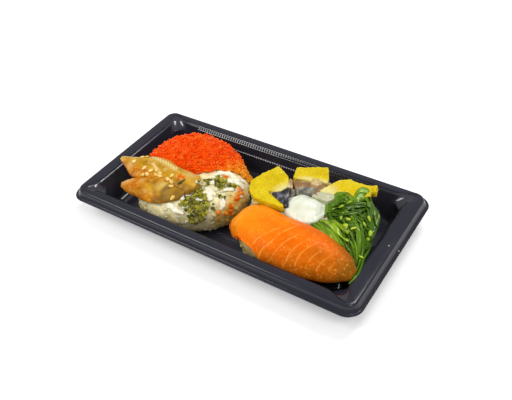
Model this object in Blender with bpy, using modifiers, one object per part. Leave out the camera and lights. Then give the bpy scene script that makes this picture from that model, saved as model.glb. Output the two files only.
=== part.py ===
# Takeaway sushi tray: a black thermoformed tray that holds two rice rings with their toppings.
# Metres, +Z up. The origin is on the surface that the tray stands on, below the middle of its rim.
# +X runs along the tray and +Y across it. Sizes below are written in millimetres times mm.

import math

import bmesh
import bpy
from mathutils import Vector

mm = 0.001
object_name = "sushi_tray"

# Tray
flange_half_x = 110.0 * mm  # the flat lip round the tray's skirt
flange_half_y = 58.4 * mm
flange_radius = 10.5 * mm
flange_width = 2.0 * mm
tray_height = 21.0 * mm
skirt_drop = 5.2 * mm
skirt_draft = 1.75 * mm
rim_width_x = 8.5 * mm
rim_width_y = 5.7 * mm
wall_thickness = 0.5 * mm
wall_draft = 0.29  # how far the walls lean in, per height
wall_foot = 2.4 * mm  # the curve from the walls to the floor
lug_drop = 6.0 * mm
lug_reach = 8.0 * mm  # how far a corner's slope starts outside the wall's line
lug_nose = 1.5 * mm  # how far it ends inside that line
panel_half_x = 85.0 * mm
panel_half_y = 29.0 * mm
panel_rise = 0.9 * mm
corner_steps = 6
long_side_steps = 3
short_side_steps = 2

# Rice: two pressed rings. Each tuple holds a ring's middle (x, y) and its outer radius.
rice_gap = 0.3 * mm  # between the floor panel and the rice
rice_bottom = wall_thickness + panel_rise + rice_gap
rice_top = tray_height + 7.5 * mm
rice_equator = 15.3 * mm  # the height of the rings' widest line
rice_foot = 10.0 * mm  # how far the side draws in below its widest line
rice_crest = 16.0 * mm  # the radius at which a ring is highest
rice_steps = 36
left_ring = (-41.5 * mm, -5.3 * mm, 40.4 * mm)
right_ring = (47.0 * mm, -4.2 * mm, 40.2 * mm)
layer_gap = 0.45 * mm  # between the rice and what lies on it

# Toppings
roe_thickness = 4.0 * mm
eel_thickness = 4.2 * mm
salmon_thickness = 3.6 * mm
herring_roe_thickness = 5.4 * mm
herring_fillet_thickness = 4.4 * mm
cut_edge = 0.8 * mm  # the rounding of the herring's cut edges
cream_middle = Vector((47.4 * mm, -3.0 * mm, tray_height + 5.0 * mm))
cream_size = Vector((13.2 * mm, 11.2 * mm, 8.0 * mm))
salad_top = tray_height + 12.5 * mm
salad_cover = 4.0 * mm  # how thick the salad lies on the rice


def collection_named(name, hidden=False):
    made = bpy.data.collections.new(name)
    bpy.context.scene.collection.children.link(made)
    made.hide_render = hidden
    return made


def clear_scene():
    for obj in list(bpy.data.objects):
        bpy.data.objects.remove(obj, do_unlink=True)


def plain_material(name, colour, roughness):
    material = bpy.data.materials.new(name)
    material.use_nodes = True
    shader = material.node_tree.nodes["Principled BSDF"]
    shader.inputs["Base Color"].default_value = (*colour, 1.0)
    shader.inputs["Roughness"].default_value = roughness
    material.diffuse_color = (*colour, 1.0)
    return material


def object_from(bm, name, collection, material=None):
    mesh = bpy.data.meshes.new(name)
    bm.to_mesh(mesh)
    bm.free()
    obj = bpy.data.objects.new(name, mesh)
    collection.objects.link(obj)
    if material:
        mesh.materials.append(material)
    mesh.shade_smooth()
    return obj


def apply_modifiers(obj):
    """Makes the object's mesh what its modifiers give, and removes them."""
    bpy.context.view_layer.update()
    graph = bpy.context.evaluated_depsgraph_get()
    made = bpy.data.meshes.new_from_object(obj.evaluated_get(graph))
    before = obj.data
    obj.modifiers.clear()
    obj.data = made
    bpy.data.meshes.remove(before)


def mix(a, b, share):
    return a + (b - a) * share


def smooth_step(value):
    value = min(max(value, 0.0), 1.0)
    return value * value * (3.0 - 2.0 * value)


def along(points, share):
    """The point at this share of a smooth curve through the given points (Catmull-Rom)."""
    spans = len(points) - 1
    place = min(max(share, 0.0), 1.0) * spans
    index = min(int(place), spans - 1)
    t = place - index
    b, c = Vector(points[index]), Vector(points[index + 1])
    a = Vector(points[index - 1]) if index > 0 else b * 2.0 - c
    d = Vector(points[index + 2]) if index + 2 <= spans else c * 2.0 - b
    return 0.5 * (
        2.0 * b
        + (c - a) * t
        + (2.0 * a - 5.0 * b + 4.0 * c - d) * t * t
        + (3.0 * b - a - 3.0 * c + d) * t * t * t
    )


# ---- tray ----


def tray_ring(half_x, half_y, radius, z, reach=0.0):
    """A rounded rectangle at height z, with each corner's arc moved out along its diagonal by reach."""
    points = []
    corners = ((1, 1), (-1, 1), (-1, -1), (1, -1))
    for number, (side_x, side_y) in enumerate(corners):
        centre = Vector((side_x * (half_x - radius), side_y * (half_y - radius), z))
        start = number * math.pi / 2.0
        for step in range(corner_steps + 1):
            turn = start + step / corner_steps * math.pi / 2.0
            off_diagonal = turn - start - math.pi / 4.0
            outward = Vector((math.cos(turn), math.sin(turn), 0.0))
            diagonal = Vector((side_x, side_y, 0.0)) * math.sqrt(0.5)
            bulge = reach * max(0.0, math.cos(2.0 * off_diagonal)) ** 1.5
            points.append(centre + outward * radius + diagonal * bulge)
        next_x, next_y = corners[(number + 1) % 4]
        turn = start + math.pi / 2.0
        next_centre = Vector((next_x * (half_x - radius), next_y * (half_y - radius), z))
        next_start = next_centre + Vector((math.cos(turn), math.sin(turn), 0.0)) * radius
        steps = long_side_steps if number % 2 == 0 else short_side_steps
        last = points[-1]
        for step in range(1, steps):
            points.append(last.lerp(next_start, step / steps))
    return points


def tray_rings():
    """The sections of the tray's upper face, from the flange's edge to the raised floor panel."""
    flange_z = tray_height - skirt_drop
    skirt_x = flange_half_x - flange_width
    skirt_y = flange_half_y - flange_width
    skirt_radius = flange_radius - flange_width
    rim_x = skirt_x - skirt_draft
    rim_y = skirt_y - skirt_draft
    rim_radius = skirt_radius - skirt_draft
    inner_x = rim_x - rim_width_x
    inner_y = rim_y - rim_width_y
    edge = 0.4 * mm
    rings = [
        tray_ring(flange_half_x, flange_half_y, flange_radius, flange_z),
        tray_ring(skirt_x, skirt_y, skirt_radius, flange_z),
        tray_ring(rim_x + edge, rim_y + edge, rim_radius + edge, tray_height - edge),
        tray_ring(rim_x - edge, rim_y - edge, rim_radius - edge, tray_height),
    ]
    lug_steps = 4
    for step in range(lug_steps + 1):
        share = step / lug_steps
        drop = lug_drop * share**1.4
        shrink = drop * wall_draft
        radius = mix(9.0 * mm, 10.0 * mm, share)
        reach = mix(lug_reach, -lug_nose, share**0.9)
        rings.append(tray_ring(inner_x - shrink, inner_y - shrink, radius, tray_height - drop, reach))
    shrink = (tray_height - wall_thickness - wall_foot) * wall_draft
    rings.append(tray_ring(inner_x - shrink, inner_y - shrink, 12.0 * mm, wall_thickness + wall_foot))
    for share in (0.5, 1.0):
        run = wall_foot * math.sin(share * math.pi / 2.0)
        z = wall_thickness + (wall_foot - run) * 0.6
        rings.append(tray_ring(inner_x - shrink - run, inner_y - shrink - run, 11.0 * mm, z))
    rings.append(tray_ring(panel_half_x, panel_half_y, 10.0 * mm, wall_thickness))
    rings.append(
        tray_ring(
            panel_half_x - panel_rise,
            panel_half_y - panel_rise,
            9.0 * mm,
            wall_thickness + panel_rise,
        )
    )
    return rings


def build_tray(collection, material):
    bm = bmesh.new()
    loops = [[bm.verts.new(point) for point in ring] for ring in tray_rings()]
    for outer, inner in zip(loops, loops[1:]):
        count = len(outer)
        for i in range(count):
            j = (i + 1) % count
            bm.faces.new((outer[i], outer[j], inner[j], inner[i]))
    bm.faces.new(loops[-1])
    obj = object_from(bm, "tray", collection, material)
    shell = obj.modifiers.new("wall", "SOLIDIFY")
    shell.thickness = wall_thickness
    shell.offset = -1.0
    shell.use_even_offset = True


# ---- rice ----


class RiceRing:
    """A pressed ring of rice with a nearly closed middle, flat below."""

    def __init__(self, name, place, waves):
        x, y, radius = place
        self.name = name
        self.centre = Vector((x, y, 0.0))
        self.radius = radius
        self.outer = radius - rice_crest
        self.inner = rice_crest * 1.05
        self.rise = rice_top - rice_equator
        self.drop = rice_equator - rice_bottom
        self.power = 2.3
        self.waves = waves

    def swell(self, turn):
        """How much wider than round the ring is in this direction."""
        return 1.0 + sum(size * math.sin(count * turn + phase) for count, size, phase in self.waves)

    def section(self, angle, gap=0.0):
        """(radius, height) at this angle of the section: 0 outermost, 90 degrees on the crest."""
        cosine, sine = math.cos(angle), math.sin(angle)
        bend = 2.0 / self.power
        half = self.outer if cosine >= 0.0 else self.inner
        across = math.copysign(abs(cosine) ** bend, cosine) * (half + gap)
        up = self.rise if sine >= 0.0 else self.drop
        lift = math.copysign(abs(sine) ** bend, sine) * (up + gap)
        return rice_crest + across, rice_equator + lift

    def point(self, turn, angle, gap=0.0):
        """A point on the ring, or gap above it, in the direction turn about its middle."""
        reach, z = self.section(angle, gap)
        reach *= self.swell(turn)
        return Vector((self.centre.x + reach * math.cos(turn), self.centre.y + reach * math.sin(turn), z))

    def across(self, point):
        """How far a point is from the crest, as a share of the way to the ring's edge, and its turn."""
        flat = (point - self.centre).to_2d()
        turn = math.atan2(flat.y, flat.x)
        reach = flat.length / self.swell(turn)
        return (reach - rice_crest) / (self.outer if reach > rice_crest else self.inner), turn

    def surface_height(self, point):
        """The height of the rice below or above a point, or the floor's outside the ring."""
        away = abs(self.across(point)[0])
        if away >= 1.0:
            return rice_bottom
        return rice_equator + self.rise * (1.0 - away**self.power) ** (1.0 / self.power)

    def cleared(self, point, gap):
        """The point itself, or the nearest one outward of the rice if it is closer than gap."""
        away, turn = self.across(point)
        half = self.outer if away > 0.0 else self.inner
        away *= half / (half + gap)
        up = (point.z - rice_equator) / (self.rise + gap)
        if up <= 0.0:
            if abs(away) >= 1.0:
                return point
            away, up = 1.0, max(up, -1.0)
        else:
            depth = (abs(away) ** self.power + up**self.power) ** (1.0 / self.power)
            if depth >= 1.0:
                return point
            away, up = away / depth, up / depth
        reach = (rice_crest + away * (half + gap)) * self.swell(turn)
        z = rice_equator + up * (self.rise + gap)
        return Vector((self.centre.x + reach * math.cos(turn), self.centre.y + reach * math.sin(turn), z))

    def build(self, collection, material=None, gap=0.0, name=None):
        """The ring as a turned profile, widened where it swells. A gap gives a larger one."""
        profile = [(0.0, self.section(math.pi, gap)[1] + self.rise * 0.42)]
        inner_end = math.radians(148.0)
        for step in range(9):
            profile.append(self.section(mix(inner_end, math.radians(8.0), step / 8), gap))
        profile.append(self.section(0.0, gap))
        bend = 2.0 / 2.6
        for share in (0.35, 0.7, 1.0):
            angle = share * math.pi / 2.0
            reach = self.radius + gap - rice_foot * (1.0 - math.cos(angle) ** bend)
            profile.append((reach, rice_equator - (self.drop + gap) * math.sin(angle) ** bend))
        profile.append((0.0, rice_bottom - gap))
        bm = bmesh.new()
        rail = [bm.verts.new((x, 0.0, z)) for x, z in profile]
        for a, b in zip(rail, rail[1:]):
            bm.edges.new((a, b))
        obj = object_from(bm, name or self.name, collection, material)
        turned = obj.modifiers.new("turned", "SCREW")
        turned.axis = "Z"
        turned.steps = rice_steps
        turned.render_steps = rice_steps
        turned.use_merge_vertices = True
        turned.merge_threshold = 0.0001
        turned.use_normal_calculate = True
        apply_modifiers(obj)
        for vertex in obj.data.vertices:
            swell = self.swell(math.atan2(vertex.co.y, vertex.co.x))
            vertex.co.x = self.centre.x + vertex.co.x * swell
            vertex.co.y = self.centre.y + vertex.co.y * swell
        return obj


# ---- toppings ----


def above_rim(points):
    """Points given in millimetres, with their height above the rim, in metres above the ground."""
    return [Vector((x * mm, y * mm, tray_height + z * mm)) for x, y, z in points]


def laid_slice(name, collection, material, place, steps, thickness, thin_edge=None, bevel=0.0):
    """A slice whose under side is place(u, v) for u and v from 0 to 1, thickened outward.

    thin_edge(u, v) gives the share of the full thickness that it has there.
    """
    bm = bmesh.new()
    bmesh.ops.create_grid(bm, x_segments=steps[0], y_segments=steps[1], size=1.0)
    shares = []
    bm.verts.ensure_lookup_table()
    for vertex in bm.verts:
        u = vertex.co.x * 0.5 + 0.5
        v = vertex.co.y * 0.5 + 0.5
        shares.append(thin_edge(u, v) if thin_edge else 1.0)
        vertex.co = place(u, v)
    bm.normal_update()
    if sum(face.normal.z for face in bm.faces) < 0.0:
        bmesh.ops.reverse_faces(bm, faces=bm.faces)
    obj = object_from(bm, name, collection, material)
    shell = obj.modifiers.new("thickness", "SOLIDIFY")
    shell.thickness = thickness
    shell.offset = 1.0
    shell.use_even_offset = False
    if thin_edge:
        group = obj.vertex_groups.new(name="thick")
        for index, share in enumerate(shares):
            group.add([index], min(max(share, 0.0), 1.0), "REPLACE")
        shell.vertex_group = "thick"
        shell.thickness_vertex_group = 0.0
    if bevel:
        rounded = obj.modifiers.new("rounded", "BEVEL")
        rounded.width = bevel
        rounded.segments = 2
        rounded.limit_method = "ANGLE"
        rounded.angle_limit = math.radians(50.0)


def strip_place(ring, near, far, crown=0.0, clear=None):
    """The under side of a slice between two edge curves, kept off the rice and raised by crown midway."""
    near = above_rim(near)
    far = above_rim(far)

    def place(u, v):
        point = along(near, u).lerp(along(far, u), v)
        point.z += crown * math.sin(math.pi * v)
        if clear:
            point = clear(point)
        return ring.cleared(point, layer_gap)

    return place


def build_roe(ring, collection, material):
    """Fish roe spread over the back half of a ring, from the middle to below its widest line."""
    low, high = math.radians(-8.0), math.radians(150.0)

    def place(u, v):
        middle = smooth_step((v - 0.55) / 0.3)
        start = math.radians(mix(23.0, -8.0, middle))
        end = math.radians(mix(183.0, 204.0, middle))
        turn = mix(end, start, u)
        wave = math.radians(3.0) * math.sin(9.0 * turn)
        return ring.point(turn, mix(low + wave, high, v), layer_gap)

    def thin_edge(u, v):
        side = smooth_step(min(u * 8.0, (1.0 - u) * 3.0))
        rim = smooth_step(min(v * 6.0, (1.0 - v) * 8.0))
        return mix(0.35, 1.0, side * rim)

    laid_slice("flying_fish_roe", collection, material, place, (20, 10), roe_thickness, thin_edge)


def build_eels(ring, collection, material):
    """Two glazed fillet pieces side by side, each with a pointed end past the ring's edge."""
    crown = 1.2 * mm
    rounded_end = 2.8 * mm
    back_far = [(-92.0, -18.6, 6.5), (-83.0, -16.2, 7.5), (-71.0, -9.8, 8.0), (-59.8, -8.3, 8.6),
                (-48.3, -11.2, 8.8), (-37.1, -11.4, 8.0), (-29.0, -11.6, 6.5)]
    back_near = [(-91.6, -19.8, 6.0), (-83.6, -24.8, 4.4), (-73.8, -29.2, 4.5), (-62.7, -28.0, 7.0),
                 (-53.6, -27.6, 8.4), (-40.0, -27.2, 8.6), (-28.0, -27.4, 7.0)]
    front_far = [(-76.6, -37.0, 1.5), (-70.0, -31.0, 4.0), (-61.0, -29.5, 6.6), (-51.0, -28.9, 8.0),
                 (-41.0, -28.4, 8.0), (-34.0, -28.6, 7.0)]
    front_near = [(-76.4, -38.0, 1.0), (-71.5, -39.6, 0.0), (-62.0, -38.8, 0.0), (-52.0, -39.2, 1.0),
                  (-43.0, -38.8, 2.5), (-36.0, -35.0, 5.0)]

    def eel_place(near, far):
        laid = strip_place(ring, near, far, crown)

        def place(u, v):
            point = laid(u, v)
            point.x += rounded_end * u**8 * math.sin(math.pi * v)
            return ring.cleared(point, layer_gap)

        return place

    def thin_edge(u, v):
        tip = smooth_step(u * 6.0 + 0.1)
        return mix(0.35, 1.0, tip * math.sin(math.pi * min(max(v, 0.02), 0.98)) ** 0.6)

    for name, near, far in (("eel_back", back_near, back_far), ("eel_front", front_near, front_far)):
        laid_slice(name, collection, material, eel_place(near, far), (16, 6), eel_thickness, thin_edge)


def build_salmon(ring, collection, material):
    """One slice draped over the front of the ring, with its pointed end past the ring's side."""
    top_edge = above_rim(
        [(14.0, -16.5, 5.0), (25.0, -14.0, 7.0), (43.0, -16.5, 8.0), (61.0, -16.5, 7.5),
         (76.0, -18.0, 5.0), (88.0, -21.5, 2.0), (95.0, -27.0, -1.5)]
    )
    low_edge = above_rim(
        [(7.5, -30.0, -4.0), (16.5, -35.5, -6.0), (29.0, -41.0, -8.0), (47.0, -43.0, -8.0),
         (64.0, -42.5, -7.0), (80.0, -38.5, -6.0), (94.5, -32.5, -3.5)]
    )
    shoulder = [(5.0, 3.0), (8.0, 6.0), (9.5, 6.5), (9.0, 6.0), (6.0, 5.0), (2.5, 2.0), (0.0, 0.0)]
    shoulder = [(lift * mm, pull * mm, 0.0) for lift, pull in shoulder]

    def place(u, v):
        back, front = along(top_edge, u), along(low_edge, u)
        lift, pull = along(shoulder, u).xy
        over = Vector((mix(back.x, front.x, 0.6), front.y - pull * 0.4, back.z + lift * 0.35))
        point = back * (1.0 - v) ** 2 + over * 2.0 * v * (1.0 - v) + front * v * v
        return ring.cleared(point, layer_gap)

    def thin_edge(u, v):
        sides = smooth_step(min(u * 9.0, (1.0 - u) * 7.0))
        return mix(0.35, 1.0, sides * smooth_step(min(v * 7.0 + 0.25, (1.0 - v) * 6.0 + 0.1)))

    laid_slice("salmon_slice", collection, material, place, (20, 9), salmon_thickness, thin_edge)
    return place


def clear_of_cream(point):
    """The point itself, or the nearest one outside the cream's widest outline."""
    reach_x = cream_size.x * 1.1 + layer_gap
    reach_y = cream_size.y * 1.1 + layer_gap
    away_x = (point.x - cream_middle.x) / reach_x
    away_y = (point.y - cream_middle.y) / reach_y
    away = math.hypot(away_x, away_y)
    if away >= 1.0:
        return point
    return Vector(
        (cream_middle.x + away_x / away * reach_x, cream_middle.y + away_y / away * reach_y, point.z)
    )


def toward_middle(ring, points, distance):
    """The points, in millimetres, moved this far toward the ring's middle and down a little."""
    moved = []
    for x, y, z in points:
        away = Vector((x, y)) - ring.centre.to_2d() / mm
        closer = away * (1.0 - distance / away.length) + ring.centre.to_2d() / mm
        moved.append((closer.x, closer.y, z - 1.2))
    return moved


def build_herring(ring, collection, yellow, flesh):
    """Three slices of pressed herring: each a thick band of roe outside and a fillet inside."""
    roe_edges = (
        (
            [(13.2, 21.6, 7.0), (4.6, 2.4, 6.5), (9.0, -7.0, 6.0), (17.0, -12.6, 6.0), (35.5, -13.4, 6.0)],
            [(25.0, 14.4, 7.6), (22.5, 4.0, 7.6), (21.0, -3.6, 7.6), (25.0, -6.4, 7.6), (36.0, -11.8, 6.0)],
        ),
        (
            [(24.4, 26.4, 6.6), (33.5, 31.7, 6.6), (42.6, 37.0, 6.6)],
            [(28.0, 14.9, 7.6), (39.4, 18.0, 7.6), (50.8, 21.2, 7.6)],
        ),
        (
            [(53.4, 24.8, 7.0), (59.5, 31.5, 6.6), (68.0, 32.5, 6.0), (74.5, 33.5, 6.6), (79.4, 36.4, 7.6)],
            [(56.5, 21.6, 7.6), (64.5, 20.8, 7.6), (71.0, 22.6, 7.0), (75.5, 28.5, 6.0), (80.5, 30.5, 6.0)],
        ),
    )
    inner_edges = (
        [(30.0, 8.5, 3.6), (31.5, 4.0, 3.6), (32.0, 0.0, 3.6), (33.0, -4.0, 3.6), (35.0, -9.0, 3.6)],
        [(36.0, 5.5, 3.6), (44.0, 6.0, 3.6), (50.5, 6.0, 3.6)],
        [(51.8, 8.5, 3.6), (53.8, 8.2, 3.6), (55.8, 8.0, 3.6)],
    )
    fillet_edges = [toward_middle(ring, near, 2.0) for _, near in roe_edges[:2]]
    fillet_edges.append([(52.6, 18.4, 5.4), (55.4, 18.0, 5.4), (58.0, 16.6, 5.4)])
    for number, (far, near) in enumerate(roe_edges, 1):
        place = strip_place(ring, near, far)
        name = f"herring_roe_{number}"
        laid_slice(name, collection, yellow, place, (7, 4), herring_roe_thickness, None, cut_edge)
    for number, (far, near) in enumerate(zip(fillet_edges, inner_edges), 1):
        place = strip_place(ring, near, far, 0.0, clear_of_cream)
        name = f"herring_fillet_{number}"
        laid_slice(name, collection, flesh, place, (6, 3), herring_fillet_thickness, None, cut_edge)


def cut_away(obj, cutter):
    cut = obj.modifiers.new("cut", "BOOLEAN")
    cut.operation = "DIFFERENCE"
    cut.solver = "EXACT"
    cut.object = cutter


def make_cutter(obj):
    obj.hide_render = True
    obj.display_type = "WIRE"
    return obj


def build_cream(collection, material, cutter):
    """A spoonful of thick cream in the ring's hollow middle, with soft folds."""
    bm = bmesh.new()
    bmesh.ops.create_uvsphere(bm, u_segments=20, v_segments=12, radius=1.0)
    for vertex in bm.verts:
        turn = math.atan2(vertex.co.y, vertex.co.x)
        height = vertex.co.z
        fold = 1.0 + 0.05 * math.sin(5.0 * turn + 2.0 * height) + 0.04 * math.sin(3.0 * turn - 4.0 * height)
        reach = Vector((vertex.co.x * fold, vertex.co.y * fold, height))
        vertex.co = cream_middle + Vector([part * size for part, size in zip(reach, cream_size)])
    obj = object_from(bm, "cream_dollop", collection, material)
    cut_away(obj, cutter)


def build_seaweed(ring, collection, material, cutter, salmon_place):
    """A loose heap of seaweed salad over the ring's side, under the end of the salmon slice."""
    under = [salmon_place(i / 40.0, j / 20.0) for i in range(41) for j in range(21)]
    middle = above_rim([(76.0, 6.0, 0.0)])[0]
    outline = above_rim(
        [(92.8, 0.0, 0.0), (89.8, 14.0, 0.0), (84.0, 26.0, 0.0), (78.0, 26.6, 0.0), (73.0, 20.0, 0.0),
         (66.0, 18.6, 0.0), (60.0, 13.0, 0.0), (60.0, 2.0, 0.0), (66.0, -8.0, 0.0), (78.0, -13.0, 0.0),
         (86.0, -20.0, 0.0), (90.4, -27.0, 0.0), (93.0, -26.0, 0.0), (93.2, -14.0, 0.0)]
    )
    closed = [*outline[-1:], *outline, *outline[:2]]
    thin = 1.5 * mm

    def top_height(point):
        away = (point - middle).to_2d().length / mm
        z = salad_top - 0.013 * away * away * mm
        z = max(z, ring.surface_height(point) + salad_cover)
        z += 0.8 * mm * math.sin(point.x / mm * 0.7) * math.sin(point.y / mm * 0.6)
        for low in under:
            if math.hypot(low.x - point.x, low.y - point.y) < 4.5 * mm:
                z = min(z, low.z - 0.8 * mm)
        return z

    rings = 7
    spokes = 40
    bm = bmesh.new()
    top_middle = bm.verts.new(Vector((middle.x, middle.y, top_height(middle))))
    loops = []
    for step in range(1, rings + 1):
        share = step / rings
        droop = smooth_step((share - 0.6) / 0.4)
        loop = []
        for spoke in range(spokes):
            edge = along(closed, (spoke / spokes * len(outline) + 1.0) / (len(closed) - 1))
            flat = middle.lerp(edge, share)
            lowest = ring.surface_height(flat) + thin
            z = max(top_height(flat) - droop * 5.0 * mm, lowest)
            loop.append(bm.verts.new((flat.x, flat.y, z)))
        loops.append(loop)
    bottom = []
    for vertex in loops[-1]:
        flat = vertex.co.lerp(middle, 0.25)
        bottom.append(bm.verts.new((flat.x, flat.y, rice_bottom)))
    for i in range(spokes):
        j = (i + 1) % spokes
        bm.faces.new((top_middle, loops[0][i], loops[0][j]))
        for inner, outer in zip(loops, [*loops[1:], bottom]):
            bm.faces.new((inner[i], outer[i], outer[j], inner[j]))
    bm.faces.new(bottom[::-1])
    obj = object_from(bm, "seaweed_salad", collection, material)
    cut_away(obj, cutter)


def main():
    clear_scene()
    parts = collection_named(object_name)
    cutters = collection_named("cutters", hidden=True)
    plastic = plain_material("black_plastic", (0.012, 0.012, 0.016), 0.28)
    rice = plain_material("rice", (0.80, 0.78, 0.70), 0.45)
    roe = plain_material("orange_roe", (0.90, 0.09, 0.01), 0.3)
    eel = plain_material("glazed_eel", (0.62, 0.33, 0.07), 0.35)
    salmon = plain_material("salmon", (0.93, 0.26, 0.03), 0.3)
    yellow = plain_material("yellow_roe", (0.85, 0.65, 0.03), 0.5)
    flesh = plain_material("herring", (0.32, 0.22, 0.15), 0.35)
    cream = plain_material("cream", (0.90, 0.88, 0.82), 0.4)
    green = plain_material("seaweed", (0.07, 0.24, 0.02), 0.25)

    build_tray(parts, plastic)
    left_waves = ((2, 0.06, 2.95), (3, 0.06, 1.3))
    right_waves = ((2, 0.05, 0.0), (3, 0.03, 2.36))
    left = RiceRing("rice_left", left_ring, left_waves)
    right = RiceRing("rice_right", right_ring, right_waves)
    left.build(parts, rice)
    right.build(parts, rice)
    rice_cutter = make_cutter(right.build(cutters, gap=layer_gap, name="rice_cutter"))
    build_roe(left, parts, roe)
    build_eels(left, parts, eel)
    salmon_place = build_salmon(right, parts, salmon)
    build_herring(right, parts, yellow, flesh)
    build_cream(parts, cream, rice_cutter)
    build_seaweed(right, parts, green, rice_cutter, salmon_place)


main()
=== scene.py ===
import math
import random

import bpy
import numpy as np
from mathutils import Matrix, Vector, noise
from mathutils.bvhtree import BVHTree


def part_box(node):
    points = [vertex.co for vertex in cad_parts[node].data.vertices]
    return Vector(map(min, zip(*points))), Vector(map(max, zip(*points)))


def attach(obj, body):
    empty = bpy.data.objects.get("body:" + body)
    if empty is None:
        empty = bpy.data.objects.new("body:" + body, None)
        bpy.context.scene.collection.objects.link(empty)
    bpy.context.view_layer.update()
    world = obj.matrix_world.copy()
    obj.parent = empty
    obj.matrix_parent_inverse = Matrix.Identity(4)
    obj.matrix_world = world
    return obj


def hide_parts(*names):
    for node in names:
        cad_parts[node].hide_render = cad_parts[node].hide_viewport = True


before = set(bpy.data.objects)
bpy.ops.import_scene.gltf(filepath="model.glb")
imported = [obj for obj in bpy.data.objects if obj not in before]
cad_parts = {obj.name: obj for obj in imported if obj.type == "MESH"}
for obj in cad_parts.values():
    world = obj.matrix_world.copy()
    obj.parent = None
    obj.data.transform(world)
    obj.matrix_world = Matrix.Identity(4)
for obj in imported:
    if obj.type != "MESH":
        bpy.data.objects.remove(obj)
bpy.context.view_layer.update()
mm = 0.001

# small tools shared by all pieces


def pick(obj):
    # make this the only selected object, and the active one
    bpy.ops.object.select_all(action="DESELECT")
    obj.select_set(True)
    bpy.context.view_layer.objects.active = obj


def newShape(add, **settings):
    # a new mesh from the Add menu
    bpy.ops.object.select_all(action="DESELECT")
    add(**settings)
    return bpy.context.active_object


def finishWith(obj, kind, **settings):
    # add a modifier, set it up and apply it
    modifier = obj.modifiers.new(kind.lower(), kind)
    for key, value in settings.items():
        setattr(modifier, key, value)
    pick(obj)
    bpy.ops.object.modifier_apply(modifier=modifier.name)
    return obj


def remeshed(obj, voxel, rounds, factor=0.5):
    # an even mesh, softened, that can be shaped
    finishWith(obj, "REMESH", mode="VOXEL", voxel_size=voxel, use_smooth_shade=True)
    return finishWith(obj, "SMOOTH", factor=factor, iterations=rounds)


def inEditMode(obj, *steps):
    # run edit mode operators on the whole mesh
    pick(obj)
    bpy.ops.object.mode_set(mode="EDIT")
    bpy.ops.mesh.select_all(action="SELECT")
    for step in steps:
        step()
    bpy.ops.object.mode_set(mode="OBJECT")
    return obj


def copyNode(nodeName, pieceName, voxel, rounds):
    # a merged and remeshed copy of a frame node
    piece = bpy.data.objects.new(pieceName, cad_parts[nodeName].data.copy())
    bpy.context.scene.collection.objects.link(piece)
    piece.data.materials.clear()
    inEditMode(
        piece,
        lambda: bpy.ops.mesh.remove_doubles(threshold=0.00001),
        lambda: bpy.ops.mesh.normals_make_consistent(inside=False),
    )
    return remeshed(piece, voxel, rounds)


def pointsOf(obj, what="co"):
    values = np.empty(len(obj.data.vertices) * 3, np.float32)
    obj.data.vertices.foreach_get(what, values)
    return values.reshape(-1, 3).astype(np.float64)


def setPoints(obj, points):
    obj.data.vertices.foreach_set("co", points.astype(np.float32).ravel())
    obj.data.update()


def pushOut(obj, amount):
    # move every vertex along its normal, by an amount of its own
    setPoints(obj, pointsOf(obj) + pointsOf(obj, "normal") * amount[:, None])


def lowerTops(obj, start, share):
    # what stands above this height sinks and leans back, to keep the heap in the object's box
    points = pointsOf(obj)
    sink = share * np.maximum(points[:, 2] - start, 0.0)
    setPoints(obj, points + np.outer(sink, (-0.65, 0.93, -1.0)))


def cloudOn(points, size, seed=0.0):
    # soft noise from -1 to 1 at each point, with lumps of this size in millimetres
    shift = Vector((seed, seed * 0.7, -seed))
    return np.array([noise.noise(Vector(p) / (size * mm) + shift) for p in points])


def cellsOn(points, size, seed=0.0):
    # 0 at the middle of each cell and about 1 at its border
    shift = Vector((seed, seed * 0.7, -seed))
    return np.array([noise.voronoi(Vector(p) / (size * mm) + shift)[0][0] for p in points])


def ease(values, low, high):
    share = np.clip((np.asarray(values, float) - low) / (high - low), 0.0, 1.0)
    return share * share * (3.0 - 2.0 * share)


def fade(values, low, high):
    return 1.0 - ease(values, low, high)


def shareIn(nodeName, points):
    # how far along, across and up a node's box each point lies, from 0 to 1
    low, high = (np.array(corner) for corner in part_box(nodeName))
    return ((points - low) / (high - low)).T


def spotsAt(points, places):
    # soft round marks, each (x, y, size) in millimetres
    x, y, _ = (points / mm).T
    share = np.zeros(len(points))
    for spotX, spotY, size in places:
        share = np.maximum(share, np.exp(-((x - spotX) ** 2 + (y - spotY) ** 2) / size**2))
    return share


def paint(obj, **shares):
    # a value for each vertex, under each of these names
    for name, values in shares.items():
        layer = obj.data.attributes.get(name) or obj.data.attributes.new(name, "FLOAT", "POINT")
        filled = np.zeros(len(obj.data.vertices), np.float32) + np.asarray(values, np.float32)
        layer.data.foreach_set("value", filled)


def meshFrom(name, points, faces):
    # a smooth mesh in the scene
    mesh = bpy.data.meshes.new(name)
    mesh.from_pydata(points, [], faces)
    mesh.shade_smooth()
    obj = bpy.data.objects.new(name, mesh)
    bpy.context.scene.collection.objects.link(obj)
    return obj


def joinCopies(name, template, spots, seed):
    # one mesh of many copies. A spot is (place, turn, size or three sizes), and a tone if it is fixed
    base = pointsOf(template)
    shape = [list(face.vertices) for face in template.data.polygons]
    places, turns = (np.array([spot[i] for spot in spots], float) for i in (0, 1))
    sizes = np.array([np.zeros(3) + spot[2] for spot in spots])
    points = np.einsum("nij,nvj->nvi", turns, base[None] * sizes[:, None]) + places[:, None]
    firsts = range(0, len(spots) * len(base), len(base))
    faces = [[first + i for i in face] for first in firsts for face in shape]
    obj = meshFrom(name, points.reshape(-1, 3), faces)
    tones = np.random.default_rng(seed).random(len(spots))
    tones = [spot[3] if len(spot) > 3 else tone for spot, tone in zip(spots, tones)]
    paint(obj, tone=np.repeat(tones, len(base)))
    bpy.data.objects.remove(template)
    return obj


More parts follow.
